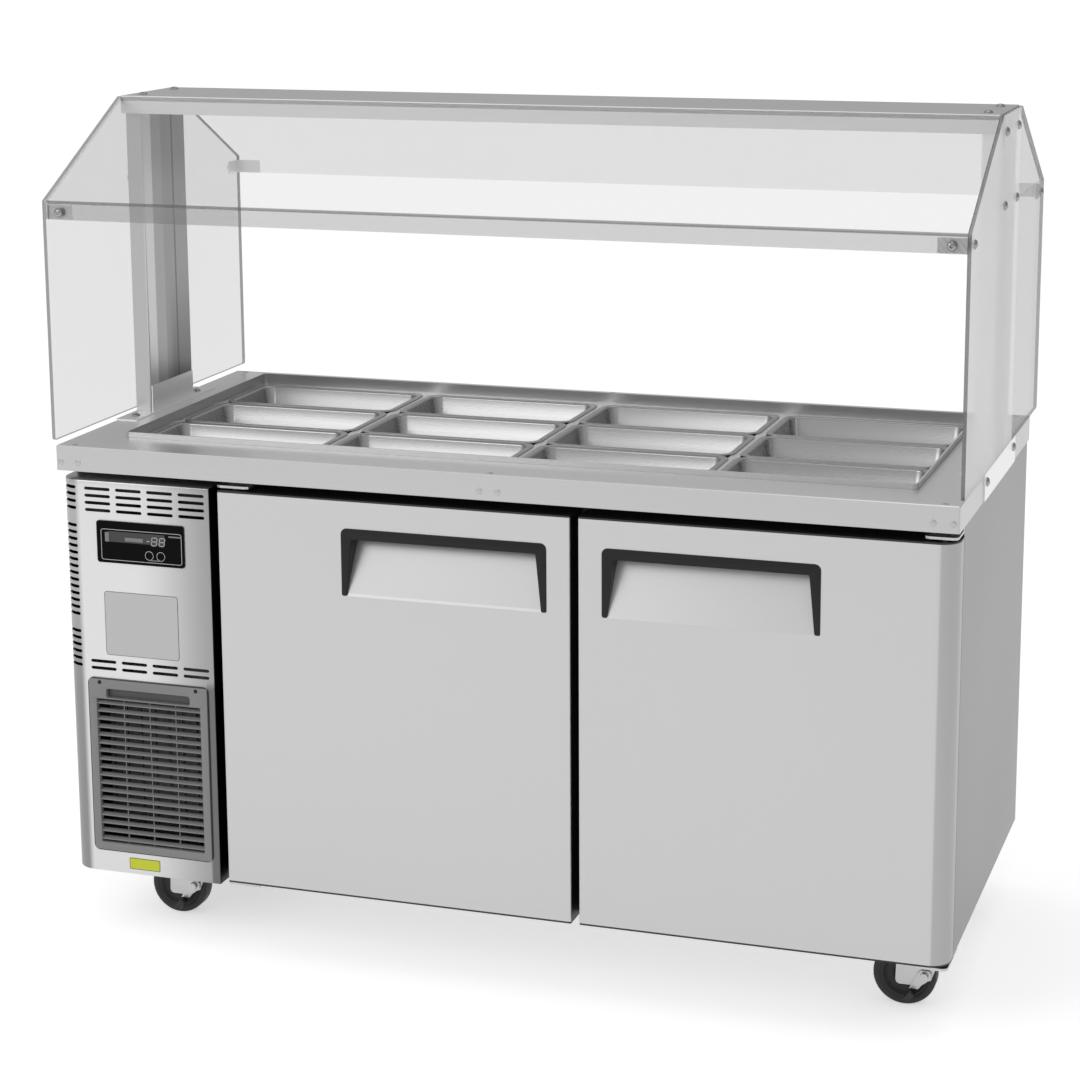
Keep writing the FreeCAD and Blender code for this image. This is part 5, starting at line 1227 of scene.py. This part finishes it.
def make_plates():
    """A bare pale plate under the controller and a bare yellow-green one under the grille, dark edged."""
    face = PANEL_LOW[1]
    for name, finish, (left, bottom), (right, top), radius, width in PLATES:
        low, high = np.array([left, face - 0.35 * MM, bottom]), np.array([right, face, top])
        crisp(piece(name, *rounded_box(low, high, radius), finish, "base", "stainless_body"))
        frame_low, frame_high = low + (0.0, -0.1 * MM, 0.0), high + (0.0, -0.2 * MM, 0.0)
        edge = frame_outline(frame_low, frame_high, width, radius)
        crisp(piece(f"{name}_edge", *edge, "label_ink", "base", "stainless_body"))


make_plates()


def plug(centre, axis, radius, height):
    """A low dome: radius cos t, height sin t."""
    turn = np.linspace(0, np.pi / 2, 6)[:-1]
    profile = [(radius, -0.2 * MM)] + [(radius * math.cos(t), height * math.sin(t)) for t in turn]
    profile.append((radius * 0.08, height))
    return turned(profile, np.asarray(centre, float), axis, 24)


def make_plugs():
    """Hole plugs in pairs along the front fold, and domes along the worktop's front and back edges."""
    front, back = TOP_LOW[1], TOP_HIGH[1]
    end = TOP_HIGH[0]
    pairs = (-0.7407, -0.7093, -0.0061, 0.0238, 0.7094, 0.7399)
    parts = [plug((x, front, 0.8275), (0, -1, 0), 5.5 * MM, 0.9 * MM) for x in pairs]
    domes = [(x, front + 10 * MM) for x in (31 * MM - end, 9 * MM, end - 24 * MM)]
    domes += [(x, back - 12 * MM) for x in (24 * MM - end, 0.0, end - 24 * MM)]
    parts += [plug((x, y, SURFACE), (0, 0, 1), 5 * MM, 1.6 * MM) for x, y in domes]
    piece("worktop_plugs", *joined(parts), "plug_steel", "base", "stainless_top")


make_plugs()


def make_grille_screws():
    """Two small dark screw heads near the grille's upper corners."""
    middle, z = (GRILLE_LOW[0] + GRILLE_HIGH[0]) / 2, GRILLE_HIGH[2] - 7.5 * MM
    profile = np.array([(3.4, -0.2), (3.4, 0.3), (2.9, 0.8), (1.5, 0.85), (1.4, 0.15), (0.2, 0.15)]) * MM
    heads = [
        turned(profile, (middle + way * 88.5 * MM, GRILLE_LOW[1], z), (0, -1, 0), 24) for way in (-1, 1)
    ]
    piece("grille_screws", *joined(heads), "black_plastic", "base", "grey_plastic")


make_grille_screws()


# ---------------------------------------------------------------- wire shelves
def make_wire_shelves():
    """Round wires: each a circle carried along a line, narrowing over its last millimetre."""
    low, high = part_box("wire_shelves")
    meet = (LEFT_DOOR[1][0] + RIGHT_DOOR[0][0]) / 2
    clear, bar, wire = 12 * MM, 4 * MM, 2.5 * MM
    bar_z = low[2] + bar
    wire_z = high[2] - wire

    def rod(start, end, radius):
        start, end = np.array(start, float), np.array(end, float)
        length = np.linalg.norm(end - start)
        profile = [(radius * 0.3, 0), (radius * 0.85, 0.4 * MM), (radius, 1.2 * MM)]
        profile += [(r, length - along) for r, along in profile[::-1]]
        return turned(profile, start, (end - start) / length, 12)

    for side, (x0, x1) in zip(SIDES, ((low[0], meet - clear), (meet + clear, high[0]))):
        spots = np.linspace(x0 + bar, x1 - bar, 16)
        bars = (low[1] + bar, (low[1] + high[1]) / 2, high[1] - bar)
        parts = [rod((x0, y, bar_z), (x1, y, bar_z), bar) for y in bars]
        parts += [rod((x, low[1], wire_z), (x, high[1], wire_z), wire) for x in spots]
        item = piece(f"{side}_wire_shelf", *joined(parts), "coated_wire", "base", "coated_wire")
        if side == "left":
            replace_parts(item, "wire_shelves")


make_wire_shelves()


# ---------------------------------------------------------------- fans
def make_fan(name, axis, nose_way):
    """Hub, nose and five twisted blades.

    A blade point at radius r and share v of its width: angle = a + w(r) (v - 1/2), place along the axis =
    depth x (1/2 - v) x twist(r) + camber sin(pi v).
    """
    low, high = corners_of(name)
    way = np.zeros(3)
    way[axis] = nose_way
    others = [i for i in range(3) if i != axis]
    centre = (low + high) / 2
    nose = 3 * MM
    centre[axis] -= nose_way * nose / 2
    reach = (high - low)[others].max() / 2
    depth = (high - low)[axis] - nose
    first, second = np.eye(3)[others[0]], np.cross(way, np.eye(3)[others[0]])
    hub = 24 * MM
    half = depth / 2
    turn = np.linspace(0, np.pi / 2, 5)
    profile = [(hub * 0.5, -half), (hub - 2 * MM, -half), (hub, -half + 2 * MM)]
    profile += [(hub - 3 * MM + 3 * MM * math.cos(t), half - 3 * MM + 3 * MM * math.sin(t)) for t in turn]
    profile += [(7 * MM, half), (6 * MM, half + 1.5 * MM), (4 * MM, half + nose)]
    parts = [turned(profile, centre, way, 40)]
    across, out = np.meshgrid(np.linspace(0, 1, 11), np.linspace(0, 1, 9))
    radius = hub - 1.5 * MM + out * (reach * 0.985 - hub)
    round_tip = 1 - 0.35 * np.clip(out - 0.75, 0, 1) * 4 * (2 * across - 1) ** 2
    span = 0.98 - 0.18 * out
    for blade in range(5):
        angle = blade * 2 * np.pi / 5 + span * (across - 0.5) * round_tip + 0.12 * out
        along = depth * 0.8 * (0.5 - across) * (1 - 0.30 * out) + 1.2 * MM * np.sin(np.pi * across)
        spokes = np.cos(angle)[..., None] * first + np.sin(angle)[..., None] * second
        points = centre + radius[..., None] * spokes + along[..., None] * way
        normals = np.cross(np.gradient(points, axis=1), np.gradient(points, axis=0))
        normals /= np.linalg.norm(normals, axis=-1, keepdims=True)
        faces = grid_faces(*out.shape, closed=False)
        corner = points.reshape(-1, 3)[faces[0]]
        if np.dot(np.cross(corner[1] - corner[0], corner[2] - corner[1]), normals[0, 0]) < 0:
            faces = faces[:, ::-1]
        parts.append(sheet(points, faces.tolist(), normals, 1.6 * MM))
    item = piece(f"{name}_wheel", *joined(parts), "black_plastic", name, "black_steel")
    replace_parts(crisp(item), name)


make_fan("condenser_fan", 1, -1)
make_fan("evaporator_fan", 0, 1)


# ---------------------------------------------------------------- room, light
def make_floor():
    """A pale floor that carries the object's shadow and fades to white away from it."""
    size = 30.0
    mesh = bpy.data.meshes.new("floor")
    corners = [(-size, -size, 0), (size, -size, 0), (size, size, 0), (-size, size, 0)]
    mesh.from_pydata(corners, [], [(0, 1, 2, 3)])
    paint = Paint("floor_paint")
    shown = paint.seen_by("Camera", "Glossy", "Transmission")
    diffuse = paint.add("ShaderNodeBsdfDiffuse", {}, {"Color": (0.86, 0.86, 0.86, 1.0)})
    glow = paint.add("ShaderNodeEmission", {}, {"Color": (1, 1, 1, 1), "Strength": shown * 0.53})
    both = paint.add("ShaderNodeAddShader", {}, [diffuse, glow])
    paint.feed(paint.output.inputs["Surface"], both)
    mesh.materials.append(paint.material)
    floor = stand("floor", mesh)


def make_world():
    """Soft studio sky: brightest in front, dimmer to the right; white where it is looked at directly."""
    world = bpy.data.worlds.new("studio")
    world.use_nodes = True
    bpy.context.scene.world = world
    paint = Paint(tree=world.node_tree)
    background = world.node_tree.nodes["Background"]
    seen = paint.seen_by("Camera", "Transmission")
    x, y, z = paint.split(paint.add("ShaderNodeTexCoord", {}, [], "Generated"))
    level = 0.56 - y * 0.14 - x * 0.10 + z * 0.04
    paint.feed(background.inputs["Strength"], level * (1 - seen) + seen)
    background.inputs["Color"].default_value = (1, 1, 1, 1)


def make_lamp(name, place, aim, size, power):
    data = bpy.data.lights.new(name, "AREA")
    data.shape = "RECTANGLE"
    data.size, data.size_y = size
    data.energy = power
    lamp = stand(name, data)
    lamp.location = place
    back = np.array(place, float) - np.array(aim, float)
    yaw = math.atan2(back[0], -back[1])
    tilt = math.atan2(math.hypot(back[0], back[1]), back[2])
    lamp.rotation_euler = (tilt, 0, yaw)


def light_studio():
    make_floor()
    make_world()
    make_lamp("key", (-2.2, -3.6, 2.9), (0, 0, 0.7), (2.6, 1.8), 34)
    make_lamp("top", (0.4, 0.2, 3.4), (0, 0, 0.8), (3.0, 1.6), 10)
    view = bpy.context.scene.view_settings
    view.view_transform = "Standard"


light_studio()
